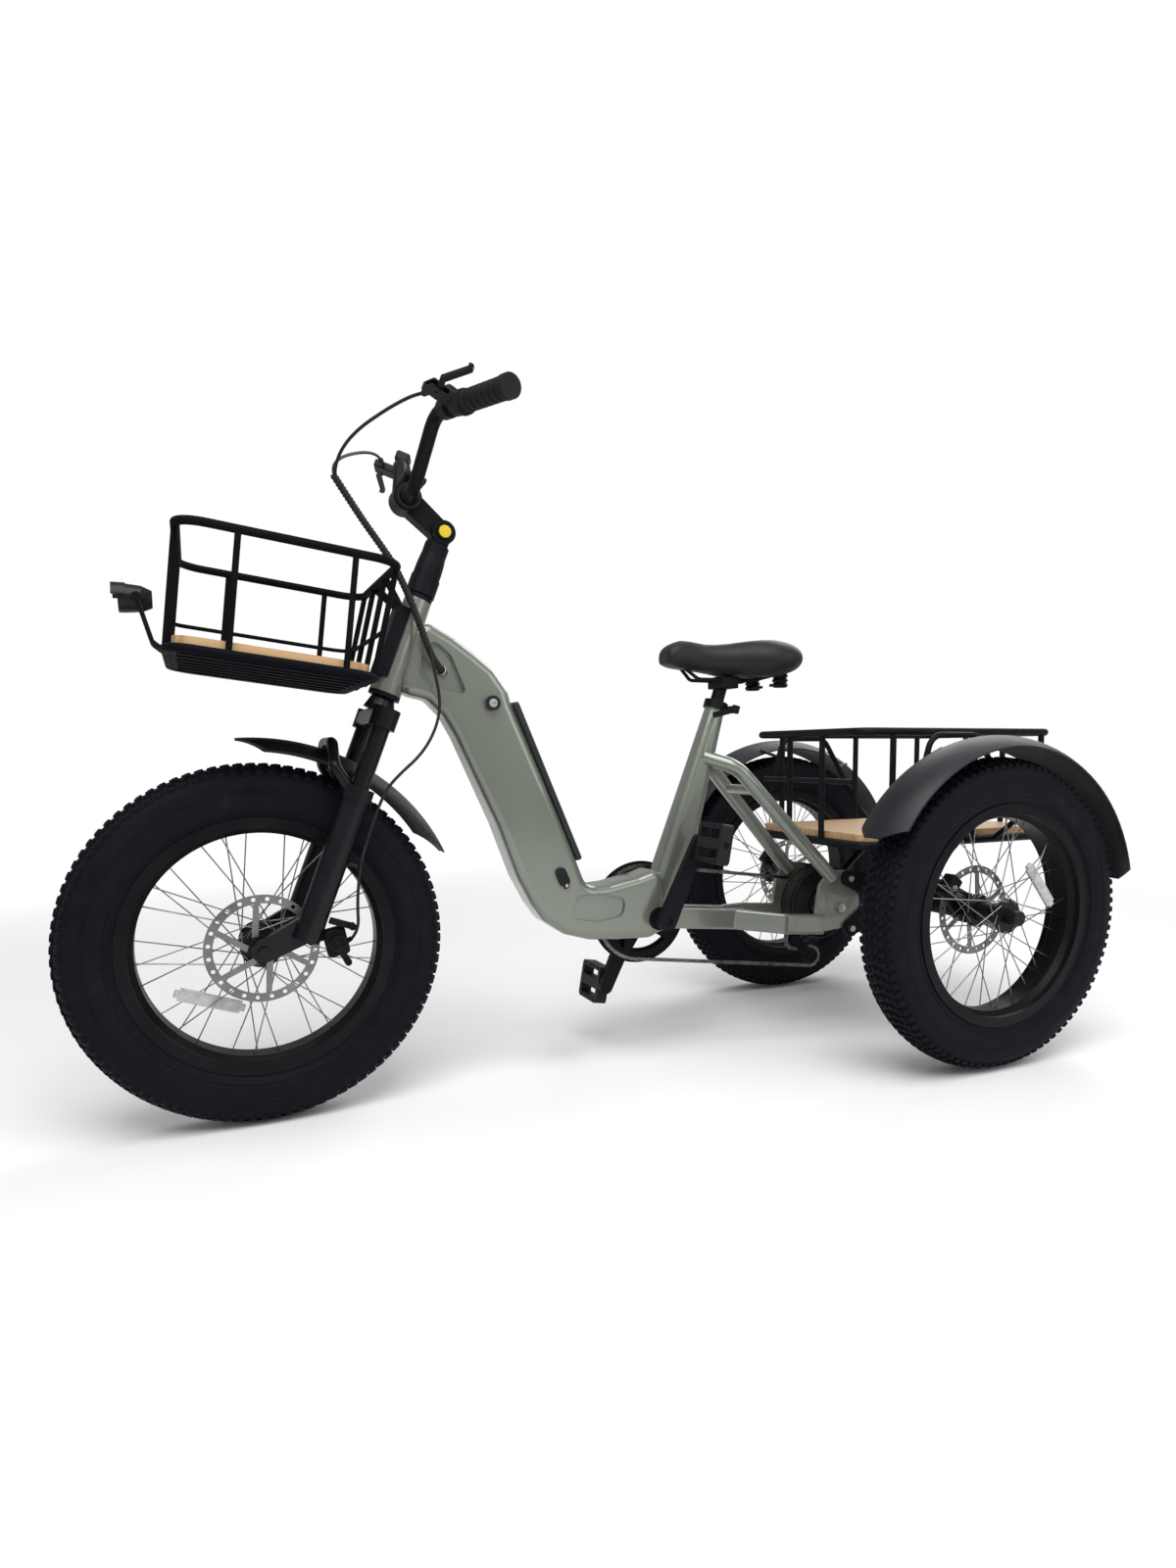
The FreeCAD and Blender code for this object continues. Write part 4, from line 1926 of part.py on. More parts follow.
def build():
    tyre = make_tyre()
    rim = make_rim()
    rotor = make_rotor()
    front_hub = make_hub(front_axle_radius + run_gap)
    spokes = make_spokes(rim, front_hub)
    rear_hub = make_hub(shaft_radius)
    shaft_end = rear_half + hub_half_length
    shaft_start = drum_half_width * 0.1
    for name, centre, turn in (("front", front_axle, 0.0),
                               ("left", rear_axle + vec(0, rear_half, 0), 180.0),
                               ("right", rear_axle - vec(0, rear_half, 0), 0.0)):
        place = FreeCAD.Placement(centre, FreeCAD.Rotation(vec(0, 0, 1), turn))
        hub = front_hub if name == "front" else rear_hub
        nodes[name + "_tyre"] = moved(tyre, place)
        nodes[name + "_rim"] = moved(rim, place)
        nodes[name + "_spokes"] = moved(spokes, place)
        pieces = [moved(hub, place)]
        if name != "front":
            side = 1 if name == "left" else -1
            first = vec(0, shaft_start * side, wheel_radius)
            second = vec(0, shaft_end * side, wheel_radius)
            pieces.append(rod(first, second, shaft_radius))
        pieces.append(moved(rotor, place))
        nodes[name + "_hub"] = group(pieces)
    nodes["fork_crown"] = moved(group([make_fork_crown(), make_stanchions()]), fork_place)
    lowers = moved(make_fork_lowers(), fork_place)
    nodes["fork_lowers"] = group([lowers, shifted(make_front_axle(), front_axle)])
    nodes["front_fender"] = make_front_fender(nodes["fork_lowers"])
    nodes["stem_post"] = moved(group([make_stem_post(), make_stem_cap()]), fork_place)
    nodes["stem_head"] = moved(make_stem_head(), fork_place)
    nodes["handlebar"] = moved(make_handlebar(), fork_place)
    nodes["grips"] = moved(make_grips(), fork_place)
    lever = moved(make_left_lever(), fork_place)
    nodes["lever_left"] = lever
    nodes["lever_right"] = flipped(lever)
    nodes["bar_controls"] = moved(group([make_lever_mounts(), make_controls()]), fork_place)
    frame, whole = make_main_frame()
    nodes["main_frame"] = frame
    nodes["battery"] = make_battery()
    nodes["side_fittings"] = make_trim()
    nodes["key_barrel"] = make_key_barrel()
    nodes["charge_flap"] = make_flap()
    nodes["bearing_cups"] = make_cups()
    nodes["rear_stays"] = make_rear_stays(whole)
    nodes["axle_housing"] = make_axle_housing()
    nodes["axle_hardware"] = group([make_motor_axle(), make_arm_bolts()])
    nodes.update(make_drive())
    nodes["motor_shell"] = group([make_motor(), nodes.pop("drive_sprocket")])
    nodes["crank_arms"] = make_crank_arms()
    nodes["pedal_left"] = make_pedal(1)
    nodes["pedal_right"] = make_pedal(-1)
    nodes["rack_frame"] = make_rack()
    nodes["rack_deck"] = make_rack_deck()
    nodes["rear_fenders"] = make_rear_fenders()
    stays = make_fender_stays(nodes["rack_frame"], nodes["rear_fenders"])
    nodes["rear_fenders"] = group([nodes["rear_fenders"], stays])
    nodes["rear_calipers"] = make_rear_calipers()
    basket = make_basket()
    nodes["basket_frame"] = basket
    nodes["basket_deck"] = make_basket_deck()
    nodes["basket_brackets"] = group([make_basket_bracket(whole, basket), make_lamp_bracket(basket)])
    nodes["headlight"] = make_lamp()
    saddle = make_saddle()
    nodes["saddle"] = saddle
    nodes["saddle_frame"] = make_saddle_frame(saddle)
    nodes["seat_post"] = make_seat_post(nodes["saddle_frame"])
    nodes["seat_collar"] = make_collar()
    nodes["collar_lever"] = make_collar_lever()
    nodes["front_caliper"] = make_front_caliper(nodes["fork_lowers"])
    nodes["cable_bundle"] = make_cable_bundle(whole)
    nodes["control_cables"] = moved(make_control_cables(), fork_place)
    nodes["brake_cable"] = moved(make_brake_cable(), fork_place)


def main():
    build()
    report_route("cable_bundle", bundle_shares, head_high, knuckle_high, bundle_radius, bundle_radius * 4)
    report_route("control_loop", loop_shares, head_high, knuckle_high, bundle_radius, bundle_radius * 4)
    report_route("brake_cable", brake_cable_shares, 0.0, crown_high, cable_radius, cable_radius * 16)
    os.makedirs("parts", exist_ok=True)
    for name, shape in nodes.items():
        shifted(shape, vec(-middle_x, 0, 0)).exportStep("parts/" + name + ".step")
        print(name, len(shape.Solids), round(shape.Volume / 1000, 1), shape.isValid())


main()
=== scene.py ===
import bpy
import math
from mathutils import Matrix, Vector


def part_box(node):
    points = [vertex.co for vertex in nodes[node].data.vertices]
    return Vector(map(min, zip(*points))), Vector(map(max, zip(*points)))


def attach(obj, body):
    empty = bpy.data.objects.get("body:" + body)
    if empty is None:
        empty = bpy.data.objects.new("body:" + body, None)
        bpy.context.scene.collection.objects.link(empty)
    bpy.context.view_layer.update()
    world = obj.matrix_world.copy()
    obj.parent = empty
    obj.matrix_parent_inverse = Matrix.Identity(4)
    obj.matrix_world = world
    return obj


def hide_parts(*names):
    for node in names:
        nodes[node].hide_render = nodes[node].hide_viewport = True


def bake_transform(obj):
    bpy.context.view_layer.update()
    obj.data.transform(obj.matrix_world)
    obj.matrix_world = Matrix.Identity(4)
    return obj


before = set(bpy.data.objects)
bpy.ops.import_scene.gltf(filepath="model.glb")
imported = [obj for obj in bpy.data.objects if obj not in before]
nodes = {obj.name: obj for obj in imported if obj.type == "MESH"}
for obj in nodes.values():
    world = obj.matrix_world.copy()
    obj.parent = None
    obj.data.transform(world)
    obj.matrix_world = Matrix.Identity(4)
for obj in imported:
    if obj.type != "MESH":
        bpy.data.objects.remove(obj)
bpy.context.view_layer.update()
scene = bpy.context.scene
print("frame loaded:", len(nodes), "nodes")


# small helpers

def pickOnly(*objs):
    bpy.ops.object.select_all(action="DESELECT")
    for obj in objs:
        obj.select_set(True)
    bpy.context.view_layer.objects.active = objs[0]


def nameActive(name):
    obj = bpy.context.view_layer.objects.active
    obj.name = name
    obj.data.name = name
    return obj


def settle(obj):  # place, turn and scale go into the mesh
    pickOnly(obj)
    bpy.ops.object.transform_apply(location=True, rotation=True, scale=True)
    return obj


def applyAll(obj):
    pickOnly(obj)
    for mod in list(obj.modifiers):
        bpy.ops.object.modifier_apply(modifier=mod.name)
    return obj


def bevelled(obj, width, segments=2, angle=35):
    mod = obj.modifiers.new("edge", "BEVEL")
    mod.width = width
    mod.segments = segments
    mod.limit_method = "ANGLE"
    mod.angle_limit = math.radians(angle)
    return applyAll(obj)


def smoothed(obj, angle=40):
    pickOnly(obj)
    bpy.ops.object.shade_smooth_by_angle(angle=math.radians(angle))
    return obj


def copied(obj, name):
    twin = obj.copy()
    twin.data = obj.data.copy()
    twin.name = name
    twin.data.name = name
    scene.collection.objects.link(twin)
    return twin


def joined(objs, name):
    pickOnly(*objs)
    if len(objs) > 1:
        bpy.ops.object.join()
    return nameActive(name)


def chooseFaces(obj, test):  # in edit mode: picks the faces whose centre and normal pass the test
    bpy.ops.mesh.select_mode(type="FACE")
    bpy.ops.mesh.select_all(action="DESELECT")
    bpy.ops.object.mode_set(mode="OBJECT")
    for face in obj.data.polygons:
        face.select = test(face.center, face.normal)
    bpy.ops.object.mode_set(mode="EDIT")


def newBox(name, size):
    bpy.ops.object.select_all(action="DESELECT")
    bpy.ops.mesh.primitive_cube_add(size=1.0)
    obj = nameActive(name)
    obj.scale = size
    return settle(obj)


def newRod(name, radius, long, sides, turn=(0, 0, 0), spot=(0, 0, 0)):
    bpy.ops.object.select_all(action="DESELECT")
    bpy.ops.mesh.primitive_cylinder_add(vertices=sides, radius=radius, depth=long,
                                        rotation=turn, location=spot)
    return settle(nameActive(name))


def newLine(name, kind, spots):
    data = bpy.data.curves.new(name, "CURVE")
    data.dimensions = "3D"
    spline = data.splines.new(kind)
    spline.points.add(len(spots) - 1)
    for point, spot in zip(spline.points, spots):
        point.co = (*spot, 1.0)
    obj = bpy.data.objects.new(name, data)
    scene.collection.objects.link(obj)
    return obj


def routeLine(name, spots, fineness=16):  # a smooth open line with the spots as its control points
    line = newLine(name, "NURBS", spots)
    spline = line.data.splines[0]
    spline.order_u = 3
    spline.use_endpoint_u = True
    spline.resolution_u = fineness
    return line


seamGap = 0.00002  # points nearer than this are one


def whirled(name, outline, axis, steps, fineness):  # a smooth outline turned round an axis, as a closed skin
    pickOnly(routeLine(name, outline, fineness))
    bpy.ops.object.convert(target="MESH")
    obj = nameActive(name)
    whirl = obj.modifiers.new("round", "SCREW")
    whirl.axis = axis
    whirl.steps = steps
    whirl.render_steps = steps
    whirl.use_merge_vertices = True
    applyAll(obj)
    bpy.ops.object.mode_set(mode="EDIT")
    bpy.ops.mesh.select_all(action="SELECT")
    bpy.ops.mesh.remove_doubles(threshold=seamGap)
    bpy.ops.mesh.normals_make_consistent(inside=False)
    bpy.ops.object.mode_set(mode="OBJECT")
    return obj


facing = 0.9  # a face points a way when its normal reaches this far along it
blockEdge = 0.28  # share of a block's least size that its edges are rounded by


def edgedBlock(name, size, spot, tilt):
    obj = bevelled(newBox(name, size), min(size) * blockEdge, segments=3)
    obj.data.transform(Matrix.Translation(spot) @ Matrix.Rotation(math.radians(tilt), 4, "Y"))
    return smoothed(obj)


turned = {"sides": 40, "step": 0.06, "edge": 0.1, "sink": 0.25}  # shares of the radius; sink, of the length


def turnedPiece(name, radius, long, spot, way, rim):  # a short turned piece with a stepped front
    obj = newRod(name, radius, long, turned["sides"])
    bpy.ops.object.mode_set(mode="EDIT")
    chooseFaces(obj, lambda centre, normal: normal.z > facing)
    bpy.ops.mesh.inset(thickness=radius * rim, depth=0.0)
    bpy.ops.mesh.inset(thickness=radius * turned["step"], depth=-long * turned["sink"])
    bpy.ops.object.mode_set(mode="OBJECT")
    bevelled(obj, radius * turned["edge"], angle=50)
    obj.data.transform(Matrix.Translation(spot) @ way.to_track_quat("Z", "Y").to_matrix().to_4x4())
    return smoothed(obj)


def ridesAs(obj, body, slotName, finish, *replaced):
    obj.data.materials.clear()
    obj.data.materials.append(finishes[finish])
    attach(obj, body)
    if replaced:
        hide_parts(*replaced)
    return obj


# steering axis, for pieces set by distance ahead, across and up the fork

steerFoot = Vector((0.615587, 0.0, 0.280648))
steerUp = Vector((-0.358368, 0.0, 0.93358))
steerFore = Vector((0.93358, 0.0, 0.358368))
leftWay = Vector((0, 1, 0))
crosswise = (math.pi / 2, 0, 0)  # turns that lay a rod across or along the tricycle
lengthwise = (0, math.pi / 2, 0)


def forkSpot(ahead, across, rise):
    return steerFoot + steerFore * ahead + steerUp * rise + Vector((0, across, 0))


# finishes

noiseLow, noiseHigh = 0.3, 0.7  # most of a noise's values lie between these


def setInputs(node, values):
    for key, value in values.items():
        node.inputs[key].default_value = value


def newFinish(name, settings):
    mat = bpy.data.materials.new(name)
    mat.use_nodes = True
    tree = mat.node_tree
    shader = tree.nodes["Principled BSDF"]
    setInputs(shader, settings)
    coord = tree.nodes.new("ShaderNodeTexCoord")
    return mat, tree, shader, coord.outputs["Object"]


def addNode(tree, kind, vector, settings):
    node = tree.nodes.new(kind)
    setInputs(node, settings)
    tree.links.new(vector, node.inputs["Vector"])
    return node


def addNoise(tree, vector, scale, detail):
    settings = {"Scale": scale, "Detail": detail, "Roughness": 0.55}
    return addNode(tree, "ShaderNodeTexNoise", vector, settings).outputs["Fac"]


def addCells(tree, vector, scale):
    return addNode(tree, "ShaderNodeTexVoronoi", vector, {"Scale": scale}).outputs["Distance"]


def addRamp(tree, factor, stops):
    node = tree.nodes.new("ShaderNodeValToRGB")
    ramp = node.color_ramp
    while len(ramp.elements) < len(stops):
        ramp.elements.new(0.5)
    for element, (place, colour) in zip(ramp.elements, stops):
        element.position = place
        element.color = (*colour, 1.0)
    tree.links.new(factor, node.inputs["Fac"])
    return node.outputs["Color"]


def addSpread(tree, factor, low, high, fromLow=noiseLow, fromHigh=noiseHigh):
    node = tree.nodes.new("ShaderNodeMapRange")
    setInputs(node, {"From Min": fromLow, "From Max": fromHigh, "To Min": low, "To Max": high})
    tree.links.new(factor, node.inputs["Value"])
    return node.outputs["Result"]


def addBump(tree, shader, height, strength, distance):
    node = tree.nodes.new("ShaderNodeBump")
    setInputs(node, {"Strength": strength, "Distance": distance})
    tree.links.new(height, node.inputs["Height"])
    tree.links.new(node.outputs["Normal"], shader.inputs["Normal"])


def grainFinish(name, look):  # two near shades, uneven gloss and a fine grain
    settings = {"Metallic": look.get("metal", 0.0), "Specular IOR Level": look.get("spec", 0.5),
                "Coat Weight": look.get("coat", 0.0), "Coat Roughness": look.get("coatRough", 0.1)}
    mat, tree, shader, place = newFinish(name, settings)
    broad = addNoise(tree, place, look["broad"], detail=5.0)
    shade = addRamp(tree, broad, [(noiseLow, look["dark"]), (noiseHigh, look["light"])])
    tree.links.new(shade, shader.inputs["Base Color"])
    tree.links.new(addSpread(tree, broad, *look["rough"]), shader.inputs["Roughness"])
    fine = addNoise(tree, place, look["fine"], detail=3.0)
    addBump(tree, shader, fine, *look["bump"])
    return mat


grainLooks = {  # bump is its strength and its depth
    "rimBlack": {"dark": (0.005, 0.005, 0.006), "light": (0.010, 0.010, 0.012), "broad": 14, "fine": 500,
                 "rough": (0.34, 0.46), "bump": (0.08, 0.0004), "metal": 0.3, "spec": 0.12},
    "powderBlack": {"dark": (0.004, 0.0045, 0.006), "light": (0.008, 0.0085, 0.011), "broad": 18, "fine": 900,
                    "rough": (0.38, 0.52), "bump": (0.16, 0.0004), "spec": 0.1},
    "stanchionBlack": {"dark": (0.004, 0.0045, 0.006), "light": (0.008, 0.0085, 0.011), "broad": 12,
                       "fine": 700, "rough": (0.24, 0.36), "bump": (0.05, 0.0003), "metal": 0.1,
                       "spec": 0.14, "coat": 0.14, "coatRough": 0.2},
    "fenderGrain": {"dark": (0.006, 0.0065, 0.009), "light": (0.012, 0.013, 0.017), "broad": 9, "fine": 1100,
                    "rough": (0.40, 0.54), "bump": (0.2, 0.0004), "spec": 0.3},
    "plasticBlack": {"dark": (0.007, 0.007, 0.008), "light": (0.014, 0.014, 0.016), "broad": 22, "fine": 1300,
                     "rough": (0.44, 0.58), "bump": (0.2, 0.0003), "spec": 0.2},
    "packCase": {"dark": (0.012, 0.014, 0.014), "light": (0.020, 0.023, 0.023), "broad": 12, "fine": 1300,
                 "rough": (0.3, 0.42), "bump": (0.1, 0.0003), "spec": 0.3},
    "gripRubber": {"dark": (0.010, 0.010, 0.011), "light": (0.018, 0.018, 0.019), "broad": 30, "fine": 1500,
                   "rough": (0.62, 0.78), "bump": (0.3, 0.0004), "spec": 0.16},
    "cableSheath": {"dark": (0.011, 0.011, 0.012), "light": (0.020, 0.020, 0.021), "broad": 40, "fine": 1600,
                    "rough": (0.42, 0.56), "bump": (0.1, 0.0002), "spec": 0.2},
    "spokeSteel": {"dark": (0.20, 0.20, 0.21), "light": (0.32, 0.32, 0.33), "broad": 30, "fine": 900,
                   "rough": (0.24, 0.36), "bump": (0.03, 0.0002), "metal": 1.0},
    "brightSteel": {"dark": (0.40, 0.40, 0.41), "light": (0.56, 0.56, 0.57), "broad": 24, "fine": 800,
                    "rough": (0.26, 0.42), "bump": (0.06, 0.0003), "metal": 1.0},
    "oiledSteel": {"dark": (0.10, 0.095, 0.09), "light": (0.26, 0.25, 0.24), "broad": 60, "fine": 600,
                   "rough": (0.3, 0.5), "bump": (0.06, 0.0003), "metal": 1.0},
    "motorAlloy": {"dark": (0.010, 0.010, 0.011), "light": (0.020, 0.020, 0.022), "broad": 16, "fine": 700,
                   "rough": (0.36, 0.5), "bump": (0.1, 0.0003), "metal": 0.4, "spec": 0.25},
    "lampGloss": {"dark": (0.005, 0.0055, 0.007), "light": (0.009, 0.0095, 0.012), "broad": 20, "fine": 600,
                  "rough": (0.3, 0.42), "bump": (0.04, 0.0002), "spec": 0.16,
                  "coat": 0.08, "coatRough": 0.12},
    "basketBlack": {"dark": (0.003, 0.0035, 0.005), "light": (0.006, 0.0065, 0.009), "broad": 18, "fine": 900,
                    "rough": (0.6, 0.74), "bump": (0.2, 0.0004), "spec": 0.04},
    "hubBlack": {"dark": (0.007, 0.007, 0.008), "light": (0.014, 0.014, 0.016), "broad": 20, "fine": 700,
                 "rough": (0.3, 0.42), "bump": (0.06, 0.0003), "metal": 0.3, "spec": 0.22},
    "reflectorClear": {"dark": (0.34, 0.35, 0.36), "light": (0.50, 0.51, 0.52), "broad": 90, "fine": 420,
                       "rough": (0.12, 0.24), "bump": (0.3, 0.0006), "coat": 0.5, "coatRough": 0.08},
    "capYellow": {"dark": (0.62, 0.45, 0.012), "light": (0.76, 0.58, 0.02), "broad": 40, "fine": 900,
                  "rough": (0.34, 0.46), "bump": (0.05, 0.0002)},
    "rotorSteel": {"dark": (0.15, 0.15, 0.155), "light": (0.26, 0.26, 0.265), "broad": 20, "fine": 700,
                   "rough": (0.28, 0.44), "bump": (0.06, 0.0003), "metal": 1.0},
}
finishes = {name: grainFinish(name, look) for name, look in grainLooks.items()}


paintLook = {
    "deep": (0.138, 0.152, 0.124), "body": (0.194, 0.214, 0.179), "glint": (0.36, 0.38, 0.32), "broad": 3.0,
    "flake": 2600, "flakeSize": 0.22, "peel": 160.0, "peelBump": (0.03, 0.0006),
    "shader": {"Metallic": 0.45, "Roughness": 0.3, "Coat Weight": 0.9, "Coat Roughness": 0.07},
}


def framePaint():  # sage metallic under a clear coat, with fine flakes
    mat, tree, shader, place = newFinish("framePaint", paintLook["shader"])
    broad = addNoise(tree, place, paintLook["broad"], detail=2.0)
    base = addRamp(tree, broad, [(noiseLow, paintLook["deep"]), (noiseHigh, paintLook["body"])])
    cells = addCells(tree, place, paintLook["flake"])
    bright = addRamp(tree, cells, [(0.0, (1, 1, 1)), (paintLook["flakeSize"], (0, 0, 0))])
    mix = tree.nodes.new("ShaderNodeMix")
    mix.data_type = "RGBA"
    tree.links.new(bright, mix.inputs["Factor"])
    tree.links.new(base, mix.inputs["A"])
    mix.inputs["B"].default_value = (*paintLook["glint"], 1.0)
    tree.links.new(mix.outputs["Result"], shader.inputs["Base Color"])
    addBump(tree, shader, addNoise(tree, place, paintLook["peel"], detail=2.0), *paintLook["peelBump"])
    return mat


woodLook = {
    "shades": [(0.0, (0.43, 0.255, 0.120)), (0.35, (0.48, 0.29, 0.140)), (0.9, (0.56, 0.36, 0.185))],
    "stretch": (0.16, 1.0, 1.0), "rings": {"Scale": 22.0, "Distortion": 10.0, "Detail": 3.0},
    "pores": 420.0, "poreBump": (0.12, 0.0004), "rough": (0.36, 0.5),
    "shader": {"Coat Weight": 0.25, "Coat Roughness": 0.2},
}


def deckWood():  # varnished board, grain along the length
    mat, tree, shader, place = newFinish("deckWood", woodLook["shader"])
    stretched = addNode(tree, "ShaderNodeMapping", place, {"Scale": woodLook["stretch"]}).outputs["Vector"]
    wave = addNode(tree, "ShaderNodeTexWave", stretched, woodLook["rings"])
    wave.bands_direction = "Y"
    tree.links.new(addRamp(tree, wave.outputs["Fac"], woodLook["shades"]), shader.inputs["Base Color"])
    pores = addNoise(tree, stretched, woodLook["pores"], detail=4.0)
    addBump(tree, shader, pores, *woodLook["poreBump"])
    tree.links.new(addSpread(tree, pores, *woodLook["rough"]), shader.inputs["Roughness"])
    return mat


tyreLook = {
    "shades": [(0.25, (0.0030, 0.0038, 0.0062)), (0.62, (0.0058, 0.0070, 0.0105)),
               (0.9, (0.013, 0.014, 0.017))],
    "broad": 26.0, "rough": (0.5, 0.72), "fine": 700.0, "bump": (0.25, 0.0006),
    "shader": {"Specular IOR Level": 0.08},
}


def tyreRubber():  # black rubber with dusty patches
    mat, tree, shader, place = newFinish("tyreRubber", tyreLook["shader"])
    broad = addNoise(tree, place, tyreLook["broad"], detail=6.0)
    tree.links.new(addRamp(tree, broad, tyreLook["shades"]), shader.inputs["Base Color"])
    tree.links.new(addSpread(tree, broad, *tyreLook["rough"]), shader.inputs["Roughness"])
    addBump(tree, shader, addNoise(tree, place, tyreLook["fine"], detail=3.0), *tyreLook["bump"])
    return mat


coverLook = {
    "dark": (0.006, 0.0065, 0.008), "light": (0.012, 0.0125, 0.015), "broad": 14.0, "rough": (0.4, 0.54),
    "pebble": 520.0, "bump": (0.22, 0.0006), "shader": {"Specular IOR Level": 0.24, "Sheen Weight": 0.04},
}


def saddleCover():  # pebbled vinyl
    mat, tree, shader, place = newFinish("saddleCover", coverLook["shader"])
    broad = addNoise(tree, place, coverLook["broad"], detail=4.0)
    shade = addRamp(tree, broad, [(noiseLow, coverLook["dark"]), (noiseHigh, coverLook["light"])])
    tree.links.new(shade, shader.inputs["Base Color"])
    addBump(tree, shader, addCells(tree, place, coverLook["pebble"]), *coverLook["bump"])
    tree.links.new(addSpread(tree, broad, *coverLook["rough"]), shader.inputs["Roughness"])
    return mat


lensLook = {
    # shades: painted shade for the rib grooves and painted highlight for the rib crests
    "shades": [(0.0, (0.62, 0.64, 0.66)), (1.0, (0.82, 0.84, 0.86))], "ribs": 90.0, "bump": (0.3, 0.0006),
    "shader": {"Roughness": 0.12, "Coat Weight": 0.6},
}


def clearLens():  # upright ribs in a pale lens, with painted light and shade: the colour is lighter on the rib crests and darker in the grooves
    mat, tree, shader, place = newFinish("clearLens", lensLook["shader"])
    ribs = addNode(tree, "ShaderNodeTexWave", place, {"Scale": lensLook["ribs"]})
    ribs.bands_direction = "Y"
    addBump(tree, shader, ribs.outputs["Fac"], *lensLook["bump"])
    # painted light and shade: the colour follows the rib relief, darker in the grooves and lighter on the
    # crests
    tree.links.new(addRamp(tree, ribs.outputs["Fac"], lensLook["shades"]), shader.inputs["Base Color"])
    return mat


for makeFinish in (framePaint, deckWood, tyreRubber, saddleCover, clearLens):
    mat = makeFinish()
    finishes[mat.name] = mat
print("finishes made:", len(finishes))

finishNodes = {
    "framePaint": ["main_frame", "rear_stays"],
    "rimBlack": ["front_rim", "left_rim", "right_rim"],
    "spokeSteel": ["front_spokes", "left_spokes", "right_spokes"],
    "rotorSteel": ["front_hub", "left_hub", "right_hub"],
    "tyreRubber": ["front_tyre", "left_tyre", "right_tyre"],
    "stanchionBlack": ["fork_crown", "fork_lowers"],
    "powderBlack": ["stem_post", "stem_head", "handlebar", "lever_left", "lever_right", "bearing_cups",
                    "axle_housing", "chainring", "derailleur", "crank_arms", "rack_frame", "rear_calipers",
                    "front_caliper", "basket_brackets", "saddle_frame", "seat_post", "seat_collar",
                    "collar_lever"],
    "gripRubber": ["grips", "charge_flap"],
    "plasticBlack": ["bar_controls", "side_fittings", "jockey_upper", "jockey_lower",
                     "pedal_left", "pedal_right"],
    "packCase": ["battery"],
    "brightSteel": ["key_barrel", "axle_hardware"],
    "oiledSteel": ["drive_chain", "axle_chain", "cassette"],
    "motorAlloy": ["differential", "motor_shell"],
    "deckWood": ["rack_deck", "basket_deck"],
    "fenderGrain": ["rear_fenders", "front_fender"],
    "basketBlack": ["basket_frame"],
    "lampGloss": ["headlight"],
    "saddleCover": ["saddle"],
    "cableSheath": ["cable_bundle", "control_cables", "brake_cable"],
}
for finish, names in finishNodes.items():
    for name in names:
        nodes[name].data.materials.clear()
        nodes[name].data.materials.append(finishes[finish])

wheelSpots = {"front": (0.666, 0.0, 0.3), "left": (-0.618, 0.358, 0.3), "right": (-0.618, -0.358, 0.3)}
brakeDisc = {"out": 0.046, "slack": 0.0028, "inner": 0.034}
for name, spot in wheelSpots.items():  # black hub shell, bare steel brake disc
    hub = nodes[name + "_hub"]
    hub.data.materials.append(finishes["hubBlack"])
    for face in hub.data.polygons:
        off = face.center - Vector(spot)
        level = abs(abs(off.y) - brakeDisc["out"]) < brakeDisc["slack"]
        onDisc = level and math.hypot(off.x, off.z) > brakeDisc["inner"]
        face.material_index = 0 if onDisc else 1
print("nodes finished")


# tyres: a round casing with rows of tread blocks

tyre = {
    # radius and half width, from the rim to the crown
    "outline": [(0.1985, 0.0), (0.1985, 0.0330), (0.2060, 0.0362), (0.2160, 0.0380), (0.2260, 0.0452),
                (0.2380, 0.0490), (0.2610, 0.0490), (0.2830, 0.0440), (0.2955, 0.0160)],
    "steps": 144, "fineness": 5, "crown": 0.2955, "bow": 0.0707,
    # lines round the sidewalls: from and to a radius, and the lift
    "lines": [(0.2535, 0.2575, 0.0010), (0.2215, 0.2275, 0.0016)], "lineEdge": 0.0008, "lineOut": 0.02,
    "pitches": 96, "blockDeep": 0.0062, "blockLift": 0.0014, "blockEdge": 0.0010,
    "blockTop": (0.80, 0.82, 1.0),
    # blocks by length and width, and rows by block, way across, share of a pitch and twist
    "blocks": {"middle": (0.0116, 0.0100), "side": (0.0112, 0.0096), "edge": (0.0124, 0.0110)},
    "rows": [("middle", 0.0, 0.0, 0.0), ("side", 0.0127, 0.1, 0.2),
             ("side", 0.0250, 0.5, -0.25), ("edge", 0.0372, 0.55, 0.0)],
    "farShift": 0.12,  # further share of a pitch for the right-hand rows
}


def tyreNormal(across):  # a point on the casing's crown and its way out
    lean = math.asin(across / tyre["bow"])
    out = Vector((math.cos(lean), math.sin(lean), 0))
    return Vector((tyre["crown"] - tyre["bow"], 0, 0)) + out * tyre["bow"], out


def treadBlock(name, long, wide):
    obj = newBox(name, (long, wide, tyre["blockDeep"]))
    bpy.ops.object.mode_set(mode="EDIT")
    chooseFaces(obj, lambda centre, normal: normal.z > facing)
    bpy.ops.transform.resize(value=tyre["blockTop"])
    bpy.ops.object.mode_set(mode="OBJECT")
    return bevelled(obj, tyre["blockEdge"], segments=1, angle=30)


def placedBlock(model, across, turn, twist):
    spot, out = tyreNormal(across)
    along = Vector((0, 0, 1))
    axes = Matrix((along, out.cross(along), out)).transposed().to_4x4()
    obj = copied(model, "block")
    obj.data.transform(Matrix.Rotation(twist, 4, "Z"))
    obj.data.transform(Matrix.Translation(spot + out * tyre["blockLift"]) @ axes)
    obj.data.transform(Matrix.Rotation(turn, 4, "Y"))
    return obj


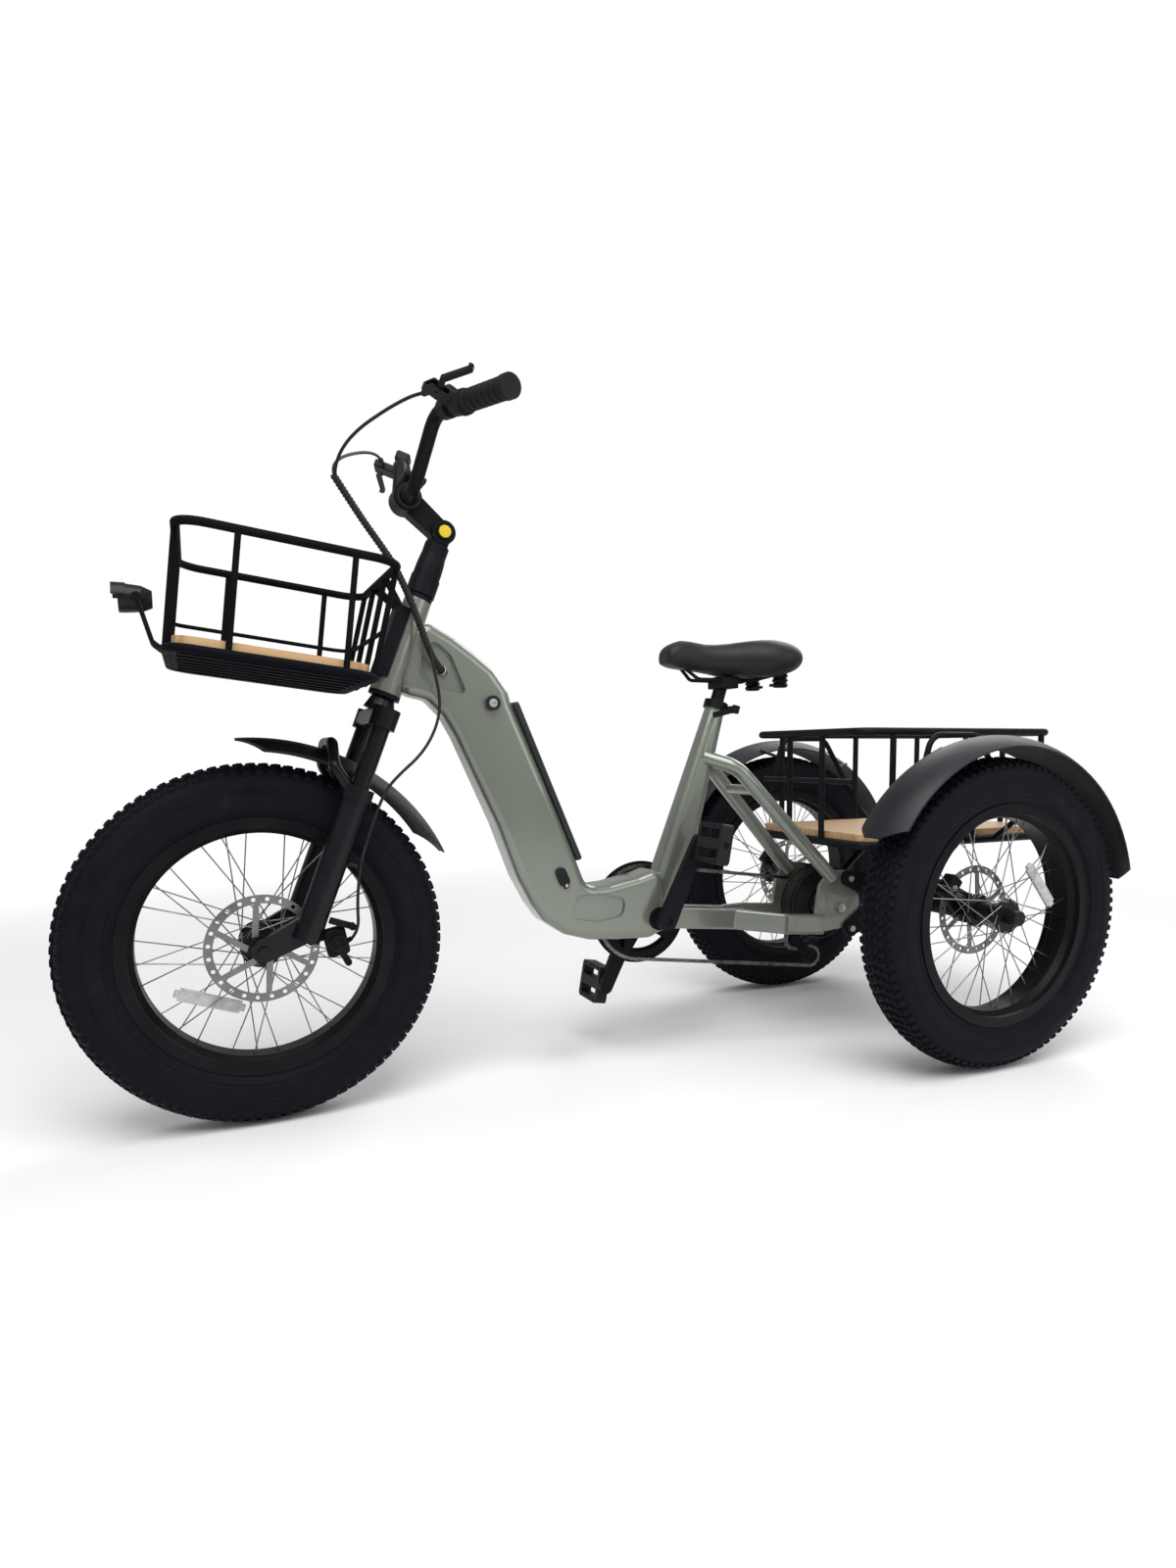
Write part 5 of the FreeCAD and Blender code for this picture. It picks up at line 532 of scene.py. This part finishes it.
def makeCasing():
    left = [Vector((radius, across, 0)) for radius, across in tyre["outline"]]
    right = [Vector((radius, -across, 0)) for radius, across in reversed(tyre["outline"])]
    casing = whirled("casing", left + right, "Y", tyre["steps"], tyre["fineness"])
    bpy.ops.object.mode_set(mode="EDIT")
    for low, high, lift in tyre["lines"]:  # raised lines round both sidewalls
        chooseFaces(casing, lambda centre, normal: (low < math.hypot(centre.x, centre.z) < high
                                                    and abs(centre.y) > tyre["lineOut"]))
        bpy.ops.mesh.inset(thickness=tyre["lineEdge"], depth=lift)
    bpy.ops.object.mode_set(mode="OBJECT")
    return casing


def makeTyre():
    casing = makeCasing()
    blocks = {kind: treadBlock(kind + "Block", *size) for kind, size in tyre["blocks"].items()}
    step = 2 * math.pi / tyre["pitches"]
    placed = []
    for kind, across, shift, twist in tyre["rows"]:
        for side in (1, -1) if across else (1,):
            turn = step * (shift + (tyre["farShift"] if side < 0 else 0.0))
            placed.append(placedBlock(blocks[kind], across * side, turn, twist * side))
    pitch = joined(placed, "treadPitch")
    tread = [pitch]
    for i in range(1, tyre["pitches"]):
        twin = copied(pitch, "treadPitch")
        twin.data.transform(Matrix.Rotation(step * i, 4, "Y"))
        tread.append(twin)
    made = joined([casing] + tread, "tyre")
    for spare in blocks.values():
        bpy.data.objects.remove(spare)
    return smoothed(made, angle=32)


tyreModel = makeTyre()
for name, spot in wheelSpots.items():
    wheelTyre = copied(tyreModel, name + "Tyre")
    wheelTyre.data.transform(Matrix.Translation(spot))
    ridesAs(wheelTyre, name + "_wheel", "tyre", "tyreRubber", name + "_tyre")
bpy.data.objects.remove(tyreModel)
print("tyres made")


# saddle: padded cover over the shell, with a pressure channel

saddle = {
    "merge": 0.0002, "voxel": 0.0045, "ease": 0.6, "smooth": 3,
    "airFrames": 20, "pressure": 4.0, "cap": 0.0035,
    "groove": 0.005, "grooveHalf": 0.013, "grooveAbove": 0.45,
    "grooveStart": (0.06, 0.14), "grooveEnd": (0.78, 0.16),  # place and fade, as shares of the length
}


def puffed(pad):  # air inside swells the cover a little
    rest = [vertex.co.copy() for vertex in pad.data.vertices]
    air = pad.modifiers.new("air", "CLOTH")
    air.settings.use_pressure = True
    air.settings.uniform_pressure_force = saddle["pressure"]
    air.settings.effector_weights.gravity = 0.0
    for i in range(1, saddle["airFrames"] + 1):
        scene.frame_set(i)
    applyAll(pad)
    scene.frame_set(1)
    for vertex, start in zip(pad.data.vertices, rest):
        move = vertex.co - start
        if move.length > saddle["cap"]:
            vertex.co = start + move * (saddle["cap"] / move.length)


def grooved(pad):  # a channel down the middle of the top, fading out at both ends
    low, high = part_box("saddle")
    span = high - low
    start, fadeIn = saddle["grooveStart"]
    end, fadeOut = saddle["grooveEnd"]
    for vertex in pad.data.vertices:
        share = (vertex.co.x - low.x) / span.x
        up = (vertex.co.z - low.z) / span.z
        if up > saddle["grooveAbove"]:
            fade = max(0.0, min(1.0, (share - start) / fadeIn)) * max(0.0, min(1.0, (end - share) / fadeOut))
            near = math.exp(-(vertex.co.y / saddle["grooveHalf"]) ** 2)
            vertex.co.z -= saddle["groove"] * near * fade


def makeSaddle():
    pad = copied(nodes["saddle"], "saddlePad")
    pickOnly(pad)
    pad.parent = None
    for key in list(pad.keys()):
        del pad[key]
    bpy.ops.object.mode_set(mode="EDIT")
    bpy.ops.mesh.select_all(action="SELECT")
    bpy.ops.mesh.remove_doubles(threshold=saddle["merge"])
    bpy.ops.object.mode_set(mode="OBJECT")
    even = pad.modifiers.new("even", "REMESH")
    even.mode = "VOXEL"
    even.voxel_size = saddle["voxel"]
    ease = pad.modifiers.new("ease", "SMOOTH")
    ease.factor = saddle["ease"]
    ease.iterations = saddle["smooth"]
    applyAll(pad)
    puffed(pad)
    grooved(pad)
    fine = pad.modifiers.new("fine", "SUBSURF")
    fine.levels = 1
    fine.render_levels = 1
    applyAll(pad)
    bpy.ops.object.shade_smooth()
    return pad


saddlePad = makeSaddle()
ridesAs(saddlePad, "seat", "saddle_cover", "saddleCover", "saddle")
print("saddle made")


# yellow cover on the stem pivot, both sides

stemCap = {"ahead": 0.34251, "high": 0.992036, "out": 0.0270, "radius": 0.0105, "thick": 0.0022,
           "edge": 0.0007, "sides": 48}


def makeStemCaps():
    made = []
    for side in (1, -1):
        spot = (stemCap["ahead"], (stemCap["out"] + stemCap["thick"] / 2) * side, stemCap["high"])
        cap = newRod("stemCap", stemCap["radius"], stemCap["thick"], stemCap["sides"], crosswise, spot)
        made.append(bevelled(cap, stemCap["edge"], segments=3))
    return smoothed(joined(made, "stemCaps"))


ridesAs(makeStemCaps(), "steering", "lamp_shell", "capYellow")


# casting round the stem post, as radius and rise up the steering axis

stemSleeve = {
    "outline": [(0.0, 0.650), (0.0205, 0.650), (0.0225, 0.664), (0.0235, 0.690), (0.0220, 0.716),
                (0.0185, 0.735), (0.0, 0.735)],
    "sides": 64, "fineness": 8,
}


def makeStemSleeve():
    outline = [Vector((radius, 0, rise)) for radius, rise in stemSleeve["outline"]]
    sleeve = whirled("stemSleeve", outline, "Z", stemSleeve["sides"], stemSleeve["fineness"])
    axes = Matrix((steerFore, leftWay, steerUp)).transposed().to_4x4()
    sleeve.data.transform(Matrix.Translation(steerFoot) @ axes)
    return smoothed(sleeve, angle=50)


ridesAs(makeStemSleeve(), "steering", "black_metal", "powderBlack")


# headlight lens

lens = {"ahead": 0.8345, "high": 0.852, "radius": 0.0183, "bulge": 0.005, "sides": 48, "rings": 24}


def makeLens():
    bpy.ops.object.select_all(action="DESELECT")
    bpy.ops.mesh.primitive_uv_sphere_add(segments=lens["sides"], ring_count=lens["rings"],
                                         radius=lens["radius"])
    obj = nameActive("lampLens")
    bpy.ops.object.mode_set(mode="EDIT")
    bpy.ops.mesh.select_all(action="SELECT")
    bpy.ops.mesh.bisect(plane_co=(0, 0, 0), plane_no=(0, 0, 1), clear_inner=True, use_fill=True)
    bpy.ops.object.mode_set(mode="OBJECT")
    obj.scale = (1, 1, lens["bulge"] / lens["radius"])
    obj.rotation_euler = lengthwise
    obj.location = (lens["ahead"], 0, lens["high"])
    return smoothed(settle(obj), angle=50)


ridesAs(makeLens(), "headlight", "lamp_shell", "clearLens")


# clear reflectors clipped to the spokes, one to a wheel

reflector = {
    "long": 0.096, "thick": 0.0064, "high": 0.021, "reach": 0.117, "stand": 0.0175, "edge": 0.0010,
    "rim": 0.0022, "slope": 0.0004, "sink": 0.0012,
    "clip": (0.0042, 0.012, 20), "clipEdge": 0.0012, "clipAt": 0.53,  # a clip is radius, length and sides
    # degrees round the wheel, degrees of lean, and side
    "turns": {"front": (-46, 24, 1), "left": (155, 14, 1), "right": (155, 14, -1)},
}


def makeReflector(wheel, turn, lean, side):
    name = wheel + "Reflector"
    bar = newBox(name, (reflector["high"], reflector["thick"], reflector["long"]))
    bpy.ops.object.mode_set(mode="EDIT")
    chooseFaces(bar, lambda centre, normal: abs(normal.y) > facing)
    bpy.ops.mesh.inset(thickness=reflector["rim"], depth=0.0)
    bpy.ops.mesh.inset(thickness=reflector["slope"], depth=-reflector["sink"])
    bpy.ops.object.mode_set(mode="OBJECT")
    bevelled(bar, reflector["edge"], angle=60)
    clips = []
    for end in (1, -1):  # hooks that hold a spoke
        spot = (0, 0, reflector["long"] * reflector["clipAt"] * end)
        clip = newRod("clip", *reflector["clip"], lengthwise, spot)
        clips.append(bevelled(clip, reflector["clipEdge"]))
    made = smoothed(joined([bar] + clips, name))
    made.data.transform(Matrix.Rotation(math.radians(lean), 4, "Y"))
    made.data.transform(Matrix.Translation((reflector["reach"], 0, 0)))
    made.data.transform(Matrix.Rotation(-math.radians(turn), 4, "Y"))
    made.data.transform(Matrix.Translation(Vector(wheelSpots[wheel]) + leftWay * reflector["stand"] * side))
    return made


for wheel, place in reflector["turns"].items():
    ridesAs(makeReflector(wheel, *place), wheel + "_wheel", "lamp_shell", "reflectorClear")


# bright ferrule where the cables enter the frame, and the charge flap's screw

ferrule = {"spot": (-0.0755, 0.0205, 0.5373), "way": (-0.0200, -0.0213, -0.0049), "radius": 0.0088,
           "long": 0.009, "rim": 0.16}
flapScrew = {"spot": (0.1349, 0.0446, 0.3658), "radius": 0.0032, "thick": 0.0018, "rim": 0.45}


def makeFerrule():
    ahead, across, rise = ferrule["way"]
    inward = steerFore * ahead + Vector((0, across, 0)) + steerUp * rise
    spot = forkSpot(*ferrule["spot"])
    return turnedPiece("cableFerrule", ferrule["radius"], ferrule["long"], spot, -inward, ferrule["rim"])


def makeFlapScrew():
    spot = Vector(flapScrew["spot"])
    return turnedPiece("flapScrew", flapScrew["radius"], flapScrew["thick"], spot, leftWay, flapScrew["rim"])


ridesAs(makeFerrule(), "frame", "bright_steel", "brightSteel")
ridesAs(makeFlapScrew(), "charge_flap", "bright_steel", "brightSteel")


# slats under the basket's tray

traySlats = {"size": (0.262, 0.016, 0.005), "ahead": 0.6366, "high": 0.7428, "tilt": -7.0,
             "across": [-0.150, -0.100, -0.050, 0.0, 0.050, 0.100, 0.150]}


def makeTraySlats():
    made = []
    for across in traySlats["across"]:
        spot = (traySlats["ahead"], across, traySlats["high"])
        made.append(edgedBlock("slat", traySlats["size"], spot, traySlats["tilt"]))
    return joined(made, "traySlats")


ridesAs(makeTraySlats(), "frame", "black_metal", "basketBlack")


# brakes: the front caliper's outer body and arms, and the bolts of the rear pair

frontBrake = {
    "blocks": [((0.036, 0.022, 0.048), (0.5550, 0.0740, 0.3060), 12),
               ((0.040, 0.007, 0.011), (0.5475, 0.0900, 0.3380), -20),
               ((0.034, 0.006, 0.011), (0.5460, 0.0925, 0.2860), -62)],  # size, spot and tilt
    "pins": [(0.0140, 0.016, (0.5540, 0.0880, 0.3050)),
             (0.0062, 0.013, (0.5310, 0.0920, 0.3320)),
             (0.0056, 0.013, (0.5400, 0.0940, 0.2740))],  # radius, length and spot
    "barrel": (0.0042, 0.024, (0.5405, 0.0745, 0.3030)), "barrelWay": (-0.72, 0.42, 0.55), "rim": 0.3,
}
rearBolt = {"radius": 0.0064, "long": 0.0024, "spot": (-0.5565, 0.3221, 0.3480), "rim": 0.4}


def makeFrontBrake():
    made = [edgedBlock("brakeBlock", *spec) for spec in frontBrake["blocks"]]
    pieces = [("brakePin", spec, leftWay) for spec in frontBrake["pins"]]
    pieces.append(("brakeBarrel", frontBrake["barrel"], Vector(frontBrake["barrelWay"])))
    for name, (radius, long, spot), way in pieces:
        made.append(turnedPiece(name, radius, long, Vector(spot), way, frontBrake["rim"]))
    return joined(made, "frontBrakeArms")


def makeRearBolts():
    x, y, z = rearBolt["spot"]
    size = (rearBolt["radius"], rearBolt["long"])
    made = []
    for side in (1, -1):
        spot = Vector((x, y * side, z))
        made.append(turnedPiece("bolt", *size, spot, leftWay * side, rearBolt["rim"]))
    return joined(made, "rearBrakeBolts")


ridesAs(makeFrontBrake(), "slider", "black_metal", "powderBlack")
ridesAs(makeRearBolts(), "frame", "bright_steel", "brightSteel")


# cooling ribs round the motor

motorRibs = {"ahead": -0.46742, "high": 0.283, "radius": 0.0752, "thick": 0.0024,
             "across": [-0.018, -0.0075, 0.003, 0.0135, 0.024], "sides": 96, "roundSides": 10}


def makeMotorRibs():
    made = []
    for across in motorRibs["across"]:
        bpy.ops.object.select_all(action="DESELECT")
        bpy.ops.mesh.primitive_torus_add(
            major_segments=motorRibs["sides"], minor_segments=motorRibs["roundSides"],
            major_radius=motorRibs["radius"], minor_radius=motorRibs["thick"],
            rotation=crosswise, location=(motorRibs["ahead"], across, motorRibs["high"]))
        made.append(settle(nameActive("rib")))
    return smoothed(joined(made, "motorRibs"))


ridesAs(makeMotorRibs(), "motor", "motor_alloy", "motorAlloy")
print("small pieces made")


# cables: each repeats its route's points, as shares of the fork's half width and of a height

forkHalf = 0.082
headHigh = 0.639
knuckleHigh = 0.762
crownHigh = 0.435
bundleShares = [(0.782, 0.43, 0.266), (0.38, 0.49, 0.016), (-0.1, 0.55, -0.366), (-0.5, 0.53, -0.68),
                (-0.76, 0.42, -0.8), (-1.0, 0.16, -0.84)]
loopShares = [(2.38, 0.36, 1.016), (1.63, 0.36, 0.65), (1.1, 0.4, 0.42), (0.782, 0.43, 0.266)]
brakeShares = [(-0.43, 0.67, 1.287), (-0.73, 0.66, 1.2), (-1.01, 0.67, 1.11), (-1.1, 0.73, 1.01),
               (-0.98, 0.85, 0.89), (-0.62, 0.98, 0.77), (-0.46, 1.05, 0.69), (-0.46, 1.06, 0.595),
               (-0.46, 1.07, 0.5), (-0.5, 1.1, 0.4), (-0.68, 1.1, 0.27), (-0.93, 1.04, 0.16),
               (-0.8, 0.88, 0.11)]
brakeSplit = 7  # the point on the fork leg where the lower run starts
leverRoutes = {  # ahead, across and up the fork
    "left": [(0.1207, 0.1756, 0.8937), (0.1387, 0.1414, 0.8941), (0.2082, 0.0685, 0.7965),
             (0.1926, 0.0326, 0.7640)],
    "right": [(0.1207, -0.1756, 0.8937), (0.1387, -0.1414, 0.8941), (0.2082, -0.0095, 0.7965),
              (0.1926, 0.0264, 0.7640)],
}
bundle = {"radius": 0.0065, "core": 0.0056, "wrap": 0.0017, "pitch": 0.0062, "steps": 14}
thinCable = {"radius": 0.0026}


def forkRoute(shares, low, high):
    spots = []
    for ahead, across, rise in shares:
        spots.append(forkSpot(forkHalf * ahead, forkHalf * across, low + (high - low) * rise))
    return spots


def linePoints(line):
    mesh = bpy.data.meshes.new_from_object(line)
    spots = [vertex.co.copy() for vertex in mesh.vertices]
    bpy.data.meshes.remove(mesh)
    return spots


def lineLength(spots):
    return sum((b - a).length for a, b in zip(spots, spots[1:]))


def asTube(line, radius):
    line.data.bevel_depth = radius
    line.data.bevel_resolution = 4
    line.data.use_fill_caps = True
    pickOnly(line)
    bpy.ops.object.convert(target="MESH")
    return smoothed(bpy.context.view_layer.objects.active, angle=50)


def wrapLine(name, spots):  # a helix round the line, one turn to each pitch
    total = lineLength(spots)
    stand = bundle["radius"] - bundle["wrap"]
    count = int(total / bundle["pitch"] * bundle["steps"])
    reach = [0.0]
    for a, b in zip(spots, spots[1:]):
        reach.append(reach[-1] + (b - a).length)
    across = (spots[1] - spots[0]).orthogonal().normalized()
    turns = []
    part = 0
    for i in range(count + 1):
        run = total * i / count
        while part < len(spots) - 2 and reach[part + 1] < run:
            part += 1
        along = (spots[part + 1] - spots[part]).normalized()
        across = (across - along * across.dot(along)).normalized()
        spot = spots[part] + along * (run - reach[part])
        turns.append(spot + Matrix.Rotation(2 * math.pi * i / bundle["steps"], 3, along) @ across * stand)
    return newLine(name, "POLY", turns)


def wrappedTube(name, points):  # wires under a spiral wrap
    line = routeLine(name, points)
    spots = linePoints(line)
    wrap = asTube(wrapLine(name + "Wrap", spots), bundle["wrap"])
    core = asTube(line, bundle["core"])
    return joined([core, wrap], name), spots


def plainTube(name, points):
    line = routeLine(name, points)
    spots = linePoints(line)
    return asTube(line, thinCable["radius"]), spots


def heldCord(obj, spots, thick, node, startBody, endBody):  # a cable in the sheath finish that hides its node; with both ends on one body it rides that body, otherwise its place is baked into its mesh
    obj.data.materials.clear()
    obj.data.materials.append(finishes["cableSheath"])
    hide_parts(node)
    if startBody == endBody:
        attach(obj, startBody)
    else:
        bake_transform(obj)


def makeCables():
    wrapped = [("cableBundle", bundleShares, "cable_bundle", "steering", "frame"),
               ("controlLoop", loopShares, "control_cables", "bar", "steering")]
    for name, shares, *held in wrapped:
        obj, spots = wrappedTube(name, forkRoute(shares, headHigh, knuckleHigh))
        heldCord(obj, spots, bundle["radius"] * 2, *held)
    plain = []
    for side, route in leverRoutes.items():
        bend = [forkSpot(*spot) for spot in route]
        plain.append((side + "LeverCable", bend, "control_cables", "bar", "bar"))
    points = forkRoute(brakeShares, 0.0, crownHigh)
    plain.append(("brakeCableUpper", points[:brakeSplit + 1], "brake_cable", "frame", "steering"))
    plain.append(("brakeCableLower", points[brakeSplit:], "brake_cable", "steering", "slider"))
    for name, route, *held in plain:
        obj, spots = plainTube(name, route)
        heldCord(obj, spots, thinCable["radius"] * 2, *held)


makeCables()
print("cables made")


# floor, lights and camera

stage = {"floor": (0.86, 0.86, 0.86), "rough": 0.9, "size": 40.0, "drop": 0.0005,
         "fadeFrom": 1.3, "fadeTo": 3.2, "world": 0.40}


def makeFloor():  # pale, and to the camera it fades into the white background
    bpy.ops.object.select_all(action="DESELECT")
    bpy.ops.mesh.primitive_plane_add(size=stage["size"], location=(0, 0, -stage["drop"]))
    floor = settle(nameActive("floor"))
    settings = {"Base Color": (*stage["floor"], 1.0), "Roughness": stage["rough"]}
    mat, tree, shader, place = newFinish("floorPale", settings)
    floor.data.materials.append(mat)
    reach = tree.nodes.new("ShaderNodeVectorMath")
    reach.operation = "LENGTH"
    tree.links.new(place, reach.inputs[0])
    far = addSpread(tree, reach.outputs["Value"], 0.0, 1.0, stage["fadeFrom"], stage["fadeTo"])
    seen = tree.nodes.new("ShaderNodeLightPath")
    fade = tree.nodes.new("ShaderNodeMath")
    fade.operation = "MULTIPLY"
    tree.links.new(far, fade.inputs[0])
    tree.links.new(seen.outputs["Is Camera Ray"], fade.inputs[1])
    glow = tree.nodes.new("ShaderNodeEmission")
    blend = tree.nodes.new("ShaderNodeMixShader")
    tree.links.new(fade.outputs["Value"], blend.inputs["Fac"])
    tree.links.new(shader.outputs["BSDF"], blend.inputs[1])
    tree.links.new(glow.outputs["Emission"], blend.inputs[2])
    tree.links.new(blend.outputs["Shader"], tree.nodes["Material Output"].inputs["Surface"])


def makeWorld():  # white to the camera, a soft even light to the object
    world = bpy.data.worlds.new("studio")
    scene.world = world
    world.use_nodes = True
    tree = world.node_tree
    back = tree.nodes["Background"]
    back.inputs["Color"].default_value = (1, 1, 1, 1)
    path = tree.nodes.new("ShaderNodeLightPath")
    strength = addSpread(tree, path.outputs["Is Camera Ray"], stage["world"], 1.0, 0.0, 1.0)
    tree.links.new(strength, back.inputs["Strength"])


lamps = [
    {"name": "keyLight", "place": (0.7, 1.5, 3.2), "size": 2.8, "power": 120},
    {"name": "backLight", "place": (-2.6, -1.6, 2.8), "size": 2.4, "power": 55},
    {"name": "sideLight", "place": (-1.8, 2.8, 1.8), "size": 2.0, "power": 24},
]
lampAim = Vector((0, 0, 0.5))


def makeLamps():
    for lamp in lamps:
        light = bpy.data.lights.new(lamp["name"], "AREA")
        light.size = lamp["size"]
        light.energy = lamp["power"]
        obj = bpy.data.objects.new(lamp["name"], light)
        scene.collection.objects.link(obj)
        obj.location = lamp["place"]
        obj.rotation_euler = (lampAim - Vector(lamp["place"])).to_track_quat("-Z", "Y").to_euler()


camera = {"place": (0.7542, 1.6301, 0.6121), "turn": 25.782, "pitch": 5.999, "roll": -0.373,
          "lens": 21.047, "sensor": 36.0, "shift": (-0.03138, 0.04145), "near": 0.01}


def makeCamera():
    data = bpy.data.cameras.new("view")
    obj = bpy.data.objects.new("view", data)
    scene.collection.objects.link(obj)
    turn, pitch, roll = (math.radians(camera[key]) for key in ("turn", "pitch", "roll"))
    look = Vector((-math.sin(turn) * math.cos(pitch), -math.cos(turn) * math.cos(pitch), -math.sin(pitch)))
    right = look.cross(Vector((0, 0, 1))).normalized()
    up = right.cross(look)
    side = right * math.cos(roll) + up * math.sin(roll)
    top = up * math.cos(roll) - right * math.sin(roll)
    axes = Matrix((side, top, -look)).transposed().to_4x4()
    obj.matrix_world = Matrix.Translation(camera["place"]) @ axes
    data.lens = camera["lens"]
    data.sensor_width = camera["sensor"]
    data.shift_x, data.shift_y = camera["shift"]
    data.clip_start = camera["near"]
    scene.camera = obj


makeFloor()
makeWorld()
makeLamps()
makeCamera()
scene.view_settings.view_transform = "Standard"
print("stage, lights and camera set")

bpy.context.view_layer.update()
